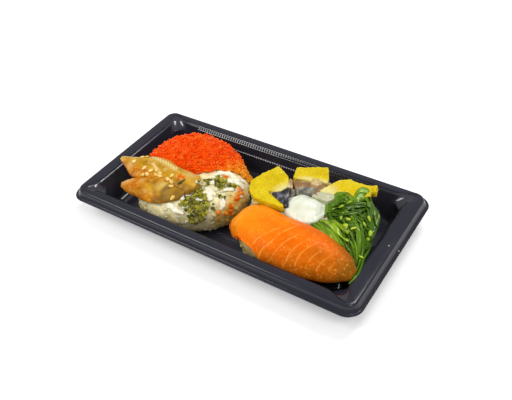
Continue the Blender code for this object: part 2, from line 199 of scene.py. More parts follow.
def lyingTurn(normal, yaw, tilt=0.0):
    # a turn that lays a shape's z along the normal, turned by yaw and tipped by tilt
    up = Vector(normal).normalized()
    side = up.orthogonal().normalized()
    basis = Matrix((side, up.cross(side), up)).transposed()
    return basis @ Matrix.Rotation(yaw, 3, "Z") @ Matrix.Rotation(tilt, 3, "Y")


def spread(obj, gap, seed, keep):
    # random places on a surface, none closer than gap, as (point, normal)
    mesh = obj.data
    mesh.calc_loop_triangles()
    corners = np.empty(len(mesh.loop_triangles) * 3, np.int32)
    mesh.loop_triangles.foreach_get("vertices", corners)
    a, b, c = (pointsOf(obj)[corners.reshape(-1, 3)[:, i]] for i in range(3))
    cross = np.cross(b - a, c - a)
    area = np.linalg.norm(cross, axis=1) / 2.0
    rng = np.random.default_rng(seed)
    tries = int(area.sum() / gap**2 * 5.0)
    chosen = rng.choice(len(area), tries, p=area / area.sum())
    u, v = rng.random(tries), rng.random(tries)
    flip = u + v > 1.0
    u[flip], v[flip] = 1.0 - u[flip], 1.0 - v[flip]
    found = a[chosen] + (b - a)[chosen] * u[:, None] + (c - a)[chosen] * v[:, None]
    facing = cross[chosen] / np.maximum(np.linalg.norm(cross[chosen], axis=1), 1e-12)[:, None]
    around = [(i, j, k) for i in (-1, 0, 1) for j in (-1, 0, 1) for k in (-1, 0, 1)]
    grid, kept = {}, []
    for point, normal in zip(found, facing):
        x, y, z = (point / gap).astype(int).tolist()
        near = (other for i, j, k in around for other in grid.get((x + i, y + j, z + k), ()))
        if any(((other - point) ** 2).sum() < gap * gap for other in near):
            continue
        if keep(Vector(point), Vector(normal)):
            grid.setdefault((x, y, z), []).append(point)
            kept.append((Vector(point), Vector(normal)))
    return kept


def treeOf(obj):
    corners = [tuple(face.vertices) for face in obj.data.polygons]
    return BVHTree.FromPolygons([vertex.co for vertex in obj.data.vertices], corners)


def covered(point, normal, trees, reach):
    # whether something lies on the surface within reach of this point
    start = point - normal * 1.0 * mm
    return any(tree.ray_cast(start, normal, reach + 1.0 * mm)[0] is not None for tree in trees)


def dropOn(trees, x, y):
    # the highest (point, normal) of these surfaces at x, y in millimetres
    start = Vector((x * mm, y * mm, 0.2))
    hits = [tree.ray_cast(start, Vector((0.0, 0.0, -1.0)))[:2] for tree in trees]
    hits = [hit for hit in hits if hit[0] is not None]
    return max(hits, key=lambda hit: hit[0].z, default=None)


def smoothLine(knots, step):
    # evenly spaced points on a soft curve through the knots
    knots = np.array(knots, float)
    padded = np.vstack([2 * knots[0] - knots[1], knots, 2 * knots[-1] - knots[-2]])
    fine = []
    for i in range(1, len(padded) - 2):
        a, b, c, d = padded[i - 1 : i + 3]
        for t in np.linspace(0.0, 1.0, 12, endpoint=False):
            bend = (2 * a - 5 * b + 4 * c - d) * t**2 + (3 * b - a - 3 * c + d) * t**3
            fine.append(0.5 * (2 * b + (c - a) * t + bend))
    fine = np.array(fine + [padded[-2]])
    run = np.concatenate([[0.0], np.cumsum(np.linalg.norm(np.diff(fine, axis=0), axis=1))])
    even = np.linspace(0.0, run[-1], max(int(run[-1] / step) + 1, 4))
    return np.column_stack([np.interp(even, run, fine[:, i]) for i in range(fine.shape[1])])


def levelled(path, reach):
    # the same path with its heights evened out
    size = 2 * reach + 1
    heights = np.convolve(np.pad([p.z for p in path], reach, "edge"), np.ones(size) / size, "valid")
    return [Vector((p.x, p.y, z)) for p, z in zip(path, heights)]


def bandFaces(first, size):
    # the faces between the ring of vertices that starts at this number and the next ring
    pairs = [(first + i, first + (i + 1) % size) for i in range(size)]
    return [(a, b, b + size, a + size) for a, b in pairs]


def sweptMesh(name, strands, sides=8):
    # long soft strips with round edges: (path, up directions, width, thickness, tone)
    turns = np.arange(sides) / sides * math.tau
    points, faces, tones, first = [], [], [], 0
    for path, facing, width, thick, tone in strands:
        path, rows = np.array(path), len(path)
        ahead = np.gradient(path, axis=0)
        ahead /= np.maximum(np.linalg.norm(ahead, axis=1), 1e-9)[:, None]
        side = np.cross(ahead, np.array(facing))
        side /= np.maximum(np.linalg.norm(side, axis=1), 1e-9)[:, None]
        ends = np.sin(np.pi * np.linspace(0.05, 0.95, rows)) ** 0.4 / 2.0
        wide = (width * ends)[:, None] * np.cos(turns)
        high = (thick * ends)[:, None] * np.sin(turns)
        ring = path[:, None] + side[:, None] * wide[..., None]
        ring = ring + np.cross(side, ahead)[:, None] * high[..., None]
        points.append(ring.reshape(-1, 3))
        last = first + (rows - 1) * sides
        for a in range(first, last, sides):
            faces += bandFaces(a, sides)
        faces += [range(first + sides - 1, first - 1, -1), range(last, last + sides)]
        tones += [tone] * (rows * sides)
        first = last + sides
    mesh = meshFrom(name, np.concatenate(points), [list(face) for face in faces])
    paint(mesh, tone=tones)
    return mesh


def hold(piece, slotName, material, *nodes):
    # give a finished piece its material and its body, and hide the frame nodes it stands for; the slot name
    # is not used
    piece.data.materials.clear()
    piece.data.materials.append(material)
    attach(piece, "root")
    if nodes:
        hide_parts(*nodes)
    return piece


# small tools for materials


def colourOf(value):
    # from a six-digit web code, a grey from 0 to 1, or a colour left as it is
    if isinstance(value, str):
        parts = [int(value[i : i + 2], 16) / 255.0 for i in (0, 2, 4)]
        return (*[p / 12.92 if p <= 0.04045 else ((p + 0.055) / 1.055) ** 2.4 for p in parts], 1.0)
    return (value, value, value, 1.0) if isinstance(value, float) else value


def newMaterial(name, **sockets):
    # the sockets are called what the shader calls them, with _ for a space
    material = bpy.data.materials.new(name)
    material.use_nodes = True
    inputs = material.node_tree.nodes["Principled BSDF"].inputs
    for key, value in sockets.items():
        inputs[key.replace("_", " ")].default_value = colourOf(value) if isinstance(value, str) else value
    return material, material.node_tree


def foodMaterial(name, rough, inside, coat=(0.0, 0.03), shine=(0.5, "ffffff")):
    # inside is the weight, colours and depth of the light in the flesh,
    # coat is the weight and roughness of the wet film, and shine the level and tint of the gloss
    glow = dict(zip(("Subsurface Weight", "Subsurface Radius", "Subsurface Scale"), inside))
    film = dict(zip(("Coat Weight", "Coat Roughness"), coat))
    gloss = dict(zip(("Specular IOR Level", "Specular Tint"), shine))
    return newMaterial(name, Roughness=rough, **glow, **film, **gloss)


def addNode(tree, kind, values=None, **links):
    made = tree.nodes.new("ShaderNode" + kind)
    for key, value in (values or {}).items():
        if key in made.inputs:
            made.inputs[key].default_value = value
        else:
            setattr(made, key, value)
    for key, socket in links.items():
        tree.links.new(socket, made.inputs[key])
    return made


def objectSpot(tree, stretch=(1.0, 1.0, 1.0), turn=0.0):
    coords = addNode(tree, "TexCoord").outputs["Object"]
    values = {"Scale": stretch, "Rotation": (0.0, 0.0, turn)}
    return addNode(tree, "Mapping", values, Vector=coords).outputs["Vector"]


def noiseOf(tree, scale, detail=2.0, roughness=0.5, **spot):
    values = {"Scale": scale, "Detail": detail, "Roughness": roughness}
    return addNode(tree, "TexNoise", values, Vector=objectSpot(tree, **spot)).outputs["Fac"]


def attributeOf(tree, name):
    return addNode(tree, "Attribute", {"attribute_name": name}).outputs["Fac"]


def rampOf(value, *stops):
    made = addNode(value.id_data, "ValToRGB", Fac=value)
    elements = made.color_ramp.elements
    while len(elements) < len(stops):
        elements.new(0.5)
    for element, (place, colour) in zip(elements, stops):
        element.position = place
        element.color = colourOf(colour)
    return made.outputs["Color"]


def maskOf(value, low, high, most=1.0):
    # black below low, and up to this grey above high
    return rampOf(value, (low, 0.0), (high, most))


def mixOf(share, first, second):
    # the second colour over the first. It may be a web code
    tree = first.id_data
    made = addNode(tree, "Mix", {"data_type": "RGBA"})
    tree.links.new(share, made.inputs[0])
    tree.links.new(first, made.inputs[6])
    if isinstance(second, str):
        made.inputs[7].default_value = colourOf(second)
    else:
        tree.links.new(second, made.inputs[7])
    return made.outputs[2]


def painted(name, colour, other):
    # another colour where the piece is painted with this name
    return mixOf(attributeOf(colour.id_data, name), colour, other)


def wireUp(material, colour, height=None, distance=0.0, strength=1.0):
    # lead the colour, and a fine relief if there is one, to the shader
    tree = material.node_tree
    inputs = tree.nodes["Principled BSDF"].inputs
    tree.links.new(colour, inputs["Base Color"])
    if height is not None:
        bump = addNode(tree, "Bump", {"Strength": strength, "Distance": distance}, Height=height)
        tree.links.new(bump.outputs["Normal"], inputs["Normal"])
    return material


def bitMaterial(name, stops, scale, mask, dark, **sockets):
    # for seeds and flakes: a colour by the tone of each one, with darker blotches
    material, tree = newMaterial(name, Subsurface_Scale=0.001, **sockets)
    colour = rampOf(attributeOf(tree, "tone"), *stops)
    return wireUp(material, mixOf(maskOf(noiseOf(tree, scale), *mask), colour, dark))


# floor, light and camera
shot = {
    "azimuth": 35.15,  # degrees round from the front
    "elevation": 41.33,
    "roll": -4.05,
    "distance": 434.4 * mm,
    "lens": 45.93,
    "aim": (10.0 * mm, -3.6 * mm),  # the camera looks at this place, at the height of the rim
}
studio = {
    "world": 0.43,
    "floor": 0.93,
    "floorGlow": 0.28,  # lights the floor in the tray's own shadow
    "lamps": [  # azimuth, elevation, distance, size, strength
        (-46.0, 46.0, 1.1, 0.50, 4.8),
        (158.0, 62.0, 1.1, 0.42, 4.8),
        (66.0, 52.0, 1.3, 0.42, 2.8),
    ],
}


def outward(azimuth, elevation):
    a, e = math.radians(azimuth), math.radians(elevation)
    return Vector((math.sin(a) * math.cos(e), -math.cos(a) * math.cos(e), math.sin(e)))


def placeCamera():
    back = outward(shot["azimuth"], shot["elevation"])
    level = Vector((0, 0, 1)).cross(back).normalized()
    turn = Matrix.Rotation(math.radians(shot["roll"]), 3, back)
    axes = Matrix((turn @ level, turn @ back.cross(level), back)).transposed().to_4x4()
    data = bpy.data.cameras.new("camera")
    data.lens = shot["lens"]
    camera = bpy.data.objects.new("camera", data)
    bpy.context.scene.collection.objects.link(camera)
    aim = Vector((*shot["aim"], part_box("tray")[1].z))
    camera.matrix_world = Matrix.Translation(aim + back * shot["distance"]) @ axes
    bpy.context.scene.camera = camera


def buildStudio():
    world = bpy.data.worlds.new("studio")
    world.use_nodes = True
    background = world.node_tree.nodes["Background"].inputs
    background["Color"].default_value = colourOf(1.0)
    background["Strength"].default_value = studio["world"]
    bpy.context.scene.world = world
    bpy.context.scene.view_settings.view_transform = "Standard"
    for number, (azimuth, elevation, distance, size, strength) in enumerate(studio["lamps"], 1):
        data = bpy.data.lights.new(f"softbox{number}", "AREA")
        data.shape, data.size, data.energy = "DISK", size, strength
        lamp = bpy.data.objects.new(f"softbox{number}", data)
        bpy.context.scene.collection.objects.link(lamp)
        direction = outward(azimuth, elevation)
        lamp.location = direction * distance
        lamp.rotation_mode = "QUATERNION"
        lamp.rotation_quaternion = direction.to_track_quat("Z", "Y")
    under = (0.0, 0.0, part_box("tray")[0].z - 0.2 * mm)
    floor = newShape(bpy.ops.mesh.primitive_plane_add, size=6.0, location=under)
    floor.name = "floor"
    material, _ = newMaterial(
        "paleFloor",
        Roughness=0.9,
        Base_Color=colourOf(studio["floor"]),
        Emission_Color="ffffff",
        Emission_Strength=studio["floorGlow"],
    )
    floor.data.materials.append(material)
    placeCamera()
    print("studio ready")


buildStudio()

# the tray
trayForm = {
    "lipWidth": 2.0 * mm,
    "lipRadius": 10.5 * mm,
    "lipEdge": 0.35 * mm,
    "skirtDrop": 5.2 * mm,
    "skirtLean": 1.75 * mm,
    "rimWidthX": 8.5 * mm,
    "rimWidthY": 5.7 * mm,
    "shoulder": 1.7 * mm,
    "innerEdge": 0.4 * mm,
    "sheet": 0.5 * mm,
    "ledge": 1.3 * mm,  # a sloping step just below the rim
    "ledgeDrop": 0.7 * mm,
    "ledgeRun": 1.9,  # how far it goes in for each step down
    "wallLean": 0.29,
    "wallFoot": 2.4 * mm,
    "lugDrop": 6.0 * mm,
    "lugReach": 8.0 * mm,
    "lugNose": 1.5 * mm,
    "lugSteps": 14,
    "lugFrom": (84.0, 36.0),  # the shiny faces of a lug: past this x and y,
    "lugHeights": (13.0, 20.7),  # between these heights
    "lugCorner": (98.0, 49.0),  # and less than the span from this corner,
    "lugSpan": 13.0,
    "lugPast": 1.5,  # or a little past it
    "panelHalf": (85.0 * mm, 29.0 * mm),
    "panelRise": 0.9 * mm,
    "cornerSteps": 16,
    "sideSteps": 24,
}


def roundedLoop(halfX, halfY, radius, z, reach=0.0):
    # a rounded rectangle, with each corner moved out along its diagonal by reach
    points = []
    steps, sides = trayForm["cornerSteps"], trayForm["sideSteps"]
    signs = ((1, 1), (-1, 1), (-1, -1), (1, -1))
    middles = [Vector((x * (halfX - radius), y * (halfY - radius), z)) for x, y in signs]
    for number, middle in enumerate(middles):
        diagonal = Vector((*signs[number], 0.0)).normalized()
        for step in range(steps + 1):
            turn = (number + step / steps) * math.pi / 2.0
            bulge = reach * max(0.0, math.cos(math.pi * (step / steps - 0.5))) ** 1.5
            arm = Vector((math.cos(turn), math.sin(turn), 0.0)) * radius
            points.append(middle + arm + diagonal * bulge)
        last, goal = points[-1], middles[(number + 1) % 4] + arm
        points += [last.lerp(goal, step / sides) for step in range(1, sides)]
    return points


def trayLoops():
    form = trayForm
    halfX, halfY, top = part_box("tray")[1]
    lipZ, edge, lipR = top - form["skirtDrop"], form["lipEdge"], form["lipRadius"]
    skirt = [v - form["lipWidth"] for v in (halfX, halfY, lipR)]
    rim = [v - form["skirtLean"] for v in skirt]
    innerX, innerY = rim[0] - form["rimWidthX"], rim[1] - form["rimWidthY"]
    loops = [
        roundedLoop(halfX, halfY, lipR, lipZ - edge),
        roundedLoop(halfX - 0.3 * mm, halfY - 0.3 * mm, lipR - 0.3 * mm, lipZ),
        roundedLoop(*[v + 0.5 * mm for v in skirt], lipZ),
        roundedLoop(*skirt, lipZ + edge),
    ]
    for share in (0.0, 0.35, 0.7, 1.0):  # the rounded shoulder from skirt to rim
        turn = share * math.pi / 2.0
        out = form["shoulder"] * (math.cos(turn) - 1.0) + edge
        loops.append(roundedLoop(*[v + out for v in rim], top - form["shoulder"] * (1.0 - math.sin(turn))))

    def inside(shrink, radius, z, reach=0.0):
        loops.append(roundedLoop(innerX - shrink, innerY - shrink, radius * mm, z, reach))

    for step in range(form["lugSteps"] + 1):  # the corner lugs, fading out down the wall
        share = step / form["lugSteps"]
        drop = form["lugDrop"] * share**1.4
        ledge = min(form["ledge"], form["ledgeRun"] * max(0.0, drop - form["ledgeDrop"]))
        reach = form["lugReach"] + (-form["lugNose"] - form["lugReach"]) * share**0.9
        inside(drop * form["wallLean"] + ledge, 9.0 + share, top - drop, reach)
    for drop in (8.0 * mm, 12.0 * mm):
        inside(drop * form["wallLean"] + form["ledge"], 11.0, top - drop)
    sheet, foot = form["sheet"], form["wallFoot"]
    shrink = (top - sheet - foot) * form["wallLean"] + form["ledge"]
    inside(shrink, 12.0, sheet + foot)
    for share in (0.25, 0.5, 0.75, 1.0):
        bend = math.sin(share * math.pi / 2.0)
        inside(shrink + foot * bend, 11.0, sheet + foot * (1.0 - bend) * 0.6)
    panelX, panelY = form["panelHalf"]
    rise = form["panelRise"]
    loops.append(roundedLoop(panelX, panelY, 10.0 * mm, sheet))
    loops.append(roundedLoop(panelX - rise, panelY - rise, 9.0 * mm, sheet + rise))
    return loops


def plasticMaterial(name, shine, roughLow, roughHigh):
    material, tree = newMaterial(name, Roughness=0.2, IOR=1.5, Specular_IOR_Level=shine)
    cloud = noiseOf(tree, 40.0, 4.0, 0.6)
    colour = rampOf(cloud, (0.3, (0.019, 0.020, 0.029, 1.0)), (0.7, (0.026, 0.025, 0.038, 1.0)))
    rough = rampOf(cloud, (0.25, roughLow), (0.75, roughHigh))
    tree.links.new(rough, tree.nodes["Principled BSDF"].inputs["Roughness"])
    return wireUp(material, colour, noiseOf(tree, 900.0), 0.00004, 0.35)


plastic = plasticMaterial("blackSheetPlastic", 0.32, 0.11, 0.17)
ribPlastic = plasticMaterial("shinyRibPlastic", 0.9, 0.08, 0.12)
cornerPlastic = plasticMaterial("shinyCornerPlastic", 0.8, 0.12, 0.18)


def onLug(face):
    # whether a face belongs to the sloping top of a corner lug
    x, y, z = face.center / mm
    fromX, fromY = trayForm["lugFrom"]
    low, high = trayForm["lugHeights"]
    inX, inY = trayForm["lugCorner"][0] - abs(x), trayForm["lugCorner"][1] - abs(y)
    near = inX + inY < trayForm["lugSpan"] and min(inX, inY) > -trayForm["lugPast"]
    return abs(x) > fromX and abs(y) > fromY and low < z < high and face.normal.z > 0.0 and near


def buildTray():
    loops = trayLoops()
    size = len(loops[0])
    last = (len(loops) - 1) * size
    faces = [face for first in range(0, last, size) for face in bandFaces(first, size)]
    faces.append(range(last, last + size))
    shell = meshFrom("trayShell", [p for loop in loops for p in loop], faces)
    limit = {"limit_method": "ANGLE", "angle_limit": math.radians(60.0)}
    finishWith(shell, "BEVEL", width=trayForm["innerEdge"], segments=3, **limit)
    finishWith(shell, "SOLIDIFY", thickness=trayForm["sheet"], offset=-1.0, use_even_offset=True)
    inEditMode(shell, lambda: bpy.ops.mesh.normals_make_consistent(inside=False))
    pick(shell)
    bpy.ops.object.shade_smooth_by_angle(angle=math.radians(50.0))
    hold(shell, "black_plastic", plastic, "tray")
    shell.data.materials.append(cornerPlastic)
    for face in shell.data.polygons:
        face.material_index = int(onLug(face))
    print("tray shell:", len(loops), "loops")


buildTray()

ribForm = {
    "wall": (-74.0, 72.0, 1.98),  # from x to x on the back wall, and the step
    "rows": ((1.5, 2.7, 51.0), (9.0, 1.6, 51.0)),  # drop below the rim, length and lean of the ribs
    "thick": 0.8,
    "rail": 0.55,  # the two thin rails that join the ends of the upper ribs
    "fade": 24.0,  # how much more upright the last rib stands
    "bead": 1.3,  # runs along the lower ribs
    "lowerIn": 0.45,  # how much further in the lower row stands
    "panel": (1.6, 0.7, 0.5),  # the double ridge round the floor panel: gap, width, height
    "panelInset": 2.0,
    "panelEnd": 8.0,  # the ridge stops this far from the corners
}


def buildRibs():
    # small upright ribs and a bead on the back wall, and a double ridge round the floor panel
    rib = newShape(bpy.ops.mesh.primitive_cube_add, size=1.0)
    finishWith(rib, "BEVEL", width=0.12, segments=2)
    low, high, step = ribForm["wall"]
    thick, rail, bead = ribForm["thick"], ribForm["rail"], ribForm["bead"]
    top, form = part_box("tray")[1].z / mm, trayForm
    back = (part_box("tray")[1].y - form["lipWidth"] - form["skirtLean"] - form["rimWidthY"]) / mm
    spots = []

    def addBox(place, turn, *size):
        spots.append((place * mm, turn, [v * mm for v in size]))

    count = int((high - low) / step) + 1
    for upper, (drop, tall, lean) in zip((True, False), ribForm["rows"]):
        ledge = min(form["ledge"] / mm, form["ledgeRun"] * (drop - form["ledgeDrop"] / mm))
        y = back - drop * form["wallLean"] - ledge - (0.0 if upper else ribForm["lowerIn"])
        for number in range(count):
            place = Vector((low + number * step, y, top - drop))
            tip = Matrix.Rotation(math.radians(ribForm["fade"] * (number / count) ** 1.5), 3, "X")
            turn = tip @ Matrix.Rotation(-math.radians(lean), 3, "X")
            addBox(place, turn, thick, thick, tall)
            if upper:
                for end in (-0.5, 0.5):
                    addBox(place + turn @ Vector((0.0, -0.1, end * tall)), turn, step + 0.1, rail, rail)
            else:
                addBox(place + Vector((0.0, 0.5, 0.0)), turn, step + 0.1, bead, bead)
    flat = Matrix.Identity(3)
    gap, width, height = ribForm["panel"]
    floorTop, end = (form["sheet"] + form["panelRise"]) / mm, ribForm["panelEnd"]
    halfX, halfY = (half / mm - ribForm["panelInset"] for half in form["panelHalf"])
    for side in (-1.0, 1.0):
        for inset in (0.0, gap):
            away = Vector((0.0, side * (halfY - inset), floorTop))
            addBox(away, flat, 2.0 * (halfX - end), width, height)
            away = Vector((side * (halfX - inset), 0.0, floorTop))
            addBox(away, flat, width, 2.0 * (halfY - end), height)
        for number in range(int(2.0 * (halfX - end) / step)):
            place = Vector((end - halfX + number * step, side * (halfY - gap / 2.0), floorTop))
            addBox(place, flat, width, gap, height)
    hold(joinCopies("trayRibs", rib, spots, 5), "black_plastic", ribPlastic)
    print("tray ribs:", len(spots))


buildRibs()

# rice
riceForm = {
    "inset": 1.5 * mm,  # of the core, where the grains lie bare
    "filmInset": 0.1 * mm,  # and where mayonnaise fills the gaps
    "relief": 0.9 * mm,
    "filmRelief": 0.45 * mm,
    "waves": 0.5 * mm,
    "grain": (5.0 * mm, 2.7 * mm, 2.5 * mm),
    "sizes": (0.85, 1.12),
    "gap": 2.9 * mm,  # between the middles of two grains
    "lift": 0.35 * mm,  # of a grain's middle above the core
    # where roe and sauce have stained the left ring: x, y and size in millimetres
    "stain": ((0.5, -12.0, 8.0), (0.0, -20.0, 6.0), (-4.0, -26.0, 4.0), (1.5, -4.0, 6.0)),
}
nodeTrees = {name: treeOf(node) for name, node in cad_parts.items()}
leftToppings = ("flying_fish_roe", "eel_back", "eel_front")
others = ("tray", "rice_left", "rice_right", *leftToppings)
toppingsOf = {"rice_left": leftToppings, "rice_right": [name for name in nodeTrees if name not in others]}


def riceMaterial():
    inside, coat, shine = (0.75, (1.0, 0.85, 0.6), 0.005), (0.08, 0.15), (0.3, "ffffff")
    material, tree = foodMaterial("cookedRice", 0.42, inside, coat, shine)
    grains = rampOf(attributeOf(tree, "tone"), (0.0, "d6bd94"), (0.5, "e0cba4"), (1.0, "ead9b8"))
    film = rampOf(noiseOf(tree, 150.0, 4.0), (0.32, "d0b274"), (0.5, "e1c88c"), (0.68, "efdfb0"))
    filled = attributeOf(tree, "film")
    colour = mixOf(maskOf(filled, 0.4, 0.75), grains, film)
    colour = mixOf(maskOf(filled, 0.82, 0.96), colour, "f3e5ae")
    # the colour of the roe and sauce stains, also used for the painted reflection of the salmon
    stain = rampOf(noiseOf(tree, 210.0, 4.0), (0.35, "d2a13a"), (0.6, "e2b654"), (0.75, "de8c2a"))
    colour = painted("stain", colour, stain)
    return wireUp(material, colour, noiseOf(tree, 700.0), 0.00008, 0.5)


rice = riceMaterial()


def filmShare(nodeName, points):
    # how far the gaps are filled: most on the top of the left ring's open half
    if nodeName != "rice_left":
        return np.full(len(points), 0.68)
    x, y, z = (points / mm).T
    cloud = cloudOn(points, 5.0, 6.0)
    top = ease(z + 2.5 * cloud, 17.0, 24.5) * ease(x + 0.35 * y + 3.0 * cloud, -68.0, -56.0)
    return np.clip(0.83 + 0.09 * ease(x, -55.0, -35.0) + 0.2 * top + 0.1 * cloud, 0.0, 1.0)


def stainShare(nodeName, points):
    # where the roe and the sauce have stained the left ring, and on the right ring a painted reflection of
    # the salmon
    if nodeName != "rice_left":
        # a painted warm reflection of the salmon on the right ring's front
        return 0.3 * fade(points[:, 1] / mm, -38.0, -26.0)
    cloud = cloudOn(points, 4.0, 15.0)
    return np.clip(1.3 * spotsAt(points, riceForm["stain"]) * (0.75 + 0.6 * cloud), 0.0, 0.9)


def grainShape():
    # one boiled grain: a long ball, bent a little and narrower at one end
    grain = newShape(bpy.ops.mesh.primitive_ico_sphere_add, subdivisions=2, radius=0.5)
    inEditMode(grain, lambda: bpy.ops.transform.resize(value=riceForm["grain"]))
    finishWith(grain, "SIMPLE_DEFORM", deform_method="TAPER", deform_axis="X", factor=-0.35)
    bent = {"deform_method": "BEND", "deform_axis": "Z", "angle": math.radians(22.0)}
    return finishWith(grain, "SIMPLE_DEFORM", **bent)


def buildRice(nodeName, pieceName, seed):
    core = copyNode(nodeName, pieceName + "Core", 1.1 * mm, 4)
    points = pointsOf(core)
    film = filmShare(nodeName, points)
    relief = riceForm["relief"] * (1.0 - 0.45 * film) * (0.7 - cellsOn(points, 4.2, seed))
    relief += riceForm["filmRelief"] * film * cloudOn(points, 2.4, seed + 5.0)
    inset = riceForm["inset"] + (riceForm["filmInset"] - riceForm["inset"]) * film
    pushOut(core, relief + riceForm["waves"] * cloudOn(points, 7.0, seed + 3.0) - inset)
    tone = 0.3 + 0.3 * cloudOn(points, 3.0, seed)
    paint(core, tone=tone, film=film, stain=stainShare(nodeName, points))
    over = [nodeTrees[name] for name in toppingsOf[nodeName]]
    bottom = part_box(nodeName)[0].z + 1.6 * mm

    def keep(point, normal):
        return point.z > bottom and not covered(point, normal, over, 7.0 * mm)

    rng = random.Random(seed)
    spots = []
    for point, normal in spread(core, riceForm["gap"], seed, keep):
        size = rng.uniform(*riceForm["sizes"])
        turn = lyingTurn(normal, rng.uniform(0.0, math.tau), rng.uniform(-0.3, 0.3))
        filled = float(filmShare(nodeName, np.array([point]))[0])
        if rng.random() < 1.6 * (filled - 0.6):
            continue
        lift = riceForm["lift"] - 1.2 * mm * filled + rng.uniform(-0.15, 0.25) * mm
        spots.append((point + normal * lift, turn, size))
    grains = joinCopies(pieceName + "Grains", grainShape(), spots, seed)
    points = pointsOf(grains)
    paint(grains, film=filmShare(nodeName, points), stain=stainShare(nodeName, points))
    hold(core, "rice", rice, nodeName)
    hold(grains, "rice", rice)
    print(pieceName, "grains:", len(spots))
    return treeOf(core), treeOf(grains)


leftRiceTree, leftGrainTree = buildRice("rice_left", "leftRice", 11)
buildRice("rice_right", "rightRice", 12)

# flying fish roe
roeForm = {
    "inset": 0.6 * mm,
    "lumps": (2.4 * mm, 0.4 * mm),  # the height of the large ones and of the small ones
    "bead": 0.82 * mm,  # radius
    "sizes": (0.8, 1.12),
    "gap": 1.22 * mm,
    "loose": 0.15,  # the share of beads that stand out from the heap
}


def roeMaterial():
    inside, coat, shine = (0.45, (1.0, 0.4, 0.05), 0.002), (0.03, 0.1), (0.2, "ffb060")
    material, tree = foodMaterial("fishRoe", 0.3, inside, coat, shine)
    tone = attributeOf(tree, "tone")
    orange = rampOf(tone, (0.0, "ee4200"), (0.5, "ff5c08"), (1.0, "ff8a30"))
    pale = rampOf(tone, (0.0, "f4820c"), (0.6, "fda52c"), (1.0, "ffc864"))
    return wireUp(material, painted("pale", orange, pale))


fishRoe = roeMaterial()


def beadShape():
    add = bpy.ops.mesh.primitive_uv_sphere_add
    return newShape(add, segments=7, ring_count=5, radius=roeForm["bead"])


def roePaleness(points):
    # paler where the roe thins out towards the right end
    x, y, _ = (points / mm).T
    return ease(x - 0.3 * y + 5.0 * cloudOn(points, 4.0, 3.0), -29.0, -16.0)


def buildRoe():
    core = copyNode("flying_fish_roe", "roeCore", 0.9 * mm, 4)
    points = pointsOf(core)
    large, small = roeForm["lumps"]
    lumps = large * cloudOn(points, 3.4, 5.0) + small * cloudOn(points, 1.7, 2.0)
    pushOut(core, lumps + 0.3 * mm * (0.6 - cellsOn(points, 1.2)) - roeForm["inset"])
    paint(core, tone=0.25, pale=roePaleness(points))

    def keep(point, normal):
        return not covered(point, normal, [leftRiceTree], 0.6 * mm)

    rng = random.Random(21)
    spots = []
    for point, normal in spread(core, roeForm["gap"], 21, keep):
        size = rng.uniform(*roeForm["sizes"])
        place = point + normal * rng.uniform(-0.3, 0.5) * mm
        if rng.random() < roeForm["loose"]:
            place += normal * rng.uniform(0.6, 1.1) * mm
        spots.append((place, Matrix.Identity(3), size))
    beads = joinCopies("roeBeads", beadShape(), spots, 21)
    points = pointsOf(beads)
    patches = 0.45 + 0.6 * cloudOn(points, 3.4, 12.0) + 0.25 * cloudOn(points, 1.3, 14.0)
    paint(beads, tone=np.clip(patches, 0.0, 1.0), pale=roePaleness(points))
    hold(core, "orange_roe", fishRoe, "flying_fish_roe")
    hold(beads, "orange_roe", fishRoe)
    print("roe beads:", len(spots))
    return treeOf(core)


roeTree = buildRoe()

# eel
eelForm = {
    "voxel": 0.5 * mm,
    "swell": 0.5 * mm,
    "fibre": 0.14 * mm,
    "blister": 0.55 * mm,
    "fill": 0.85 * mm,  # how much fuller than the plain slices
    "top": (33.6 * mm, 0.4),  # what stands higher is lowered by this share
    # spots of painted highlight on the upward faces: x, y and size
    "palePlaces": [(-45.5, -32.6, 3.4), (-79.5, -24.4, 2.6), (-33.5, -15.5, 4.5)],
    "frontChar": [(-52.0, -31.9, 1.5), (-50.4, -27.5, 1.5), (-57.0, -33.0, 0.9)],
    "backChar": [(-69.6, -19.1, 2.2), (-66.5, -18.0, 1.4), (-44.0, -20.0, 1.0)],
}


def eelMaterial():
    inside, coat, shine = (0.25, (1.0, 0.6, 0.15), 0.002), (0.07, 0.1), (0.4, "ffbe50")
    material, tree = foodMaterial("glazedEel", 0.3, inside, coat, shine)
    fibre = noiseOf(tree, 420.0, 5.0, 0.65, stretch=(0.28, 1.0, 1.0), turn=math.radians(6.0))
    flesh = rampOf(fibre, (0.3, "a6760c"), (0.5, "c2901c"), (0.72, "deb03c"))
    mottle = noiseOf(tree, 170.0, 6.0, 0.7)
    burnt = rampOf(mottle, (0.3, "984a02"), (0.5, "c47004"), (0.7, "e6a41c"))
    colour = painted("glaze", flesh, burnt)
    # a painted highlight, then the skin and the charred marks
    for name, code in (("light", "f2d78c"), ("skin", "7c5c28"), ("char", "7a3408")):
        colour = painted(name, colour, code)
    return wireUp(material, colour, fibre, 0.0004, 0.6)


eelSkin = eelMaterial()


def ridgeBand(points, up):
    # short ridges across the far edge and along the seam, where the flesh parts: height, and a painted
    # highlight on them
    x, y, _ = (points / mm).T
    t = (x + 69.7) / 25.2
    away = (y + 12.0 + 4.8 * np.clip(t, 0.0, 1.0) ** 1.3) / 2.3
    place = np.exp(-(away**2)) * ease(t, -0.05, 0.08) * fade(t, 0.95, 1.08) * ease(up, 0.0, 0.3)
    ridges = np.sin((x + 0.8 * y) / 0.36)
    t = (x + 64.0) / 12.0
    seam = np.exp(-((y + 18.5 + 6.0 * t) ** 2)) * ease(t, -0.1, 0.1) * fade(t, 0.9, 1.1) * up
    height = 0.4 * mm * ridges * place + 0.22 * mm * np.sin(x / 0.33) * seam
    return height, np.maximum(place * (0.75 + 0.4 * ridges), 0.9 * seam)


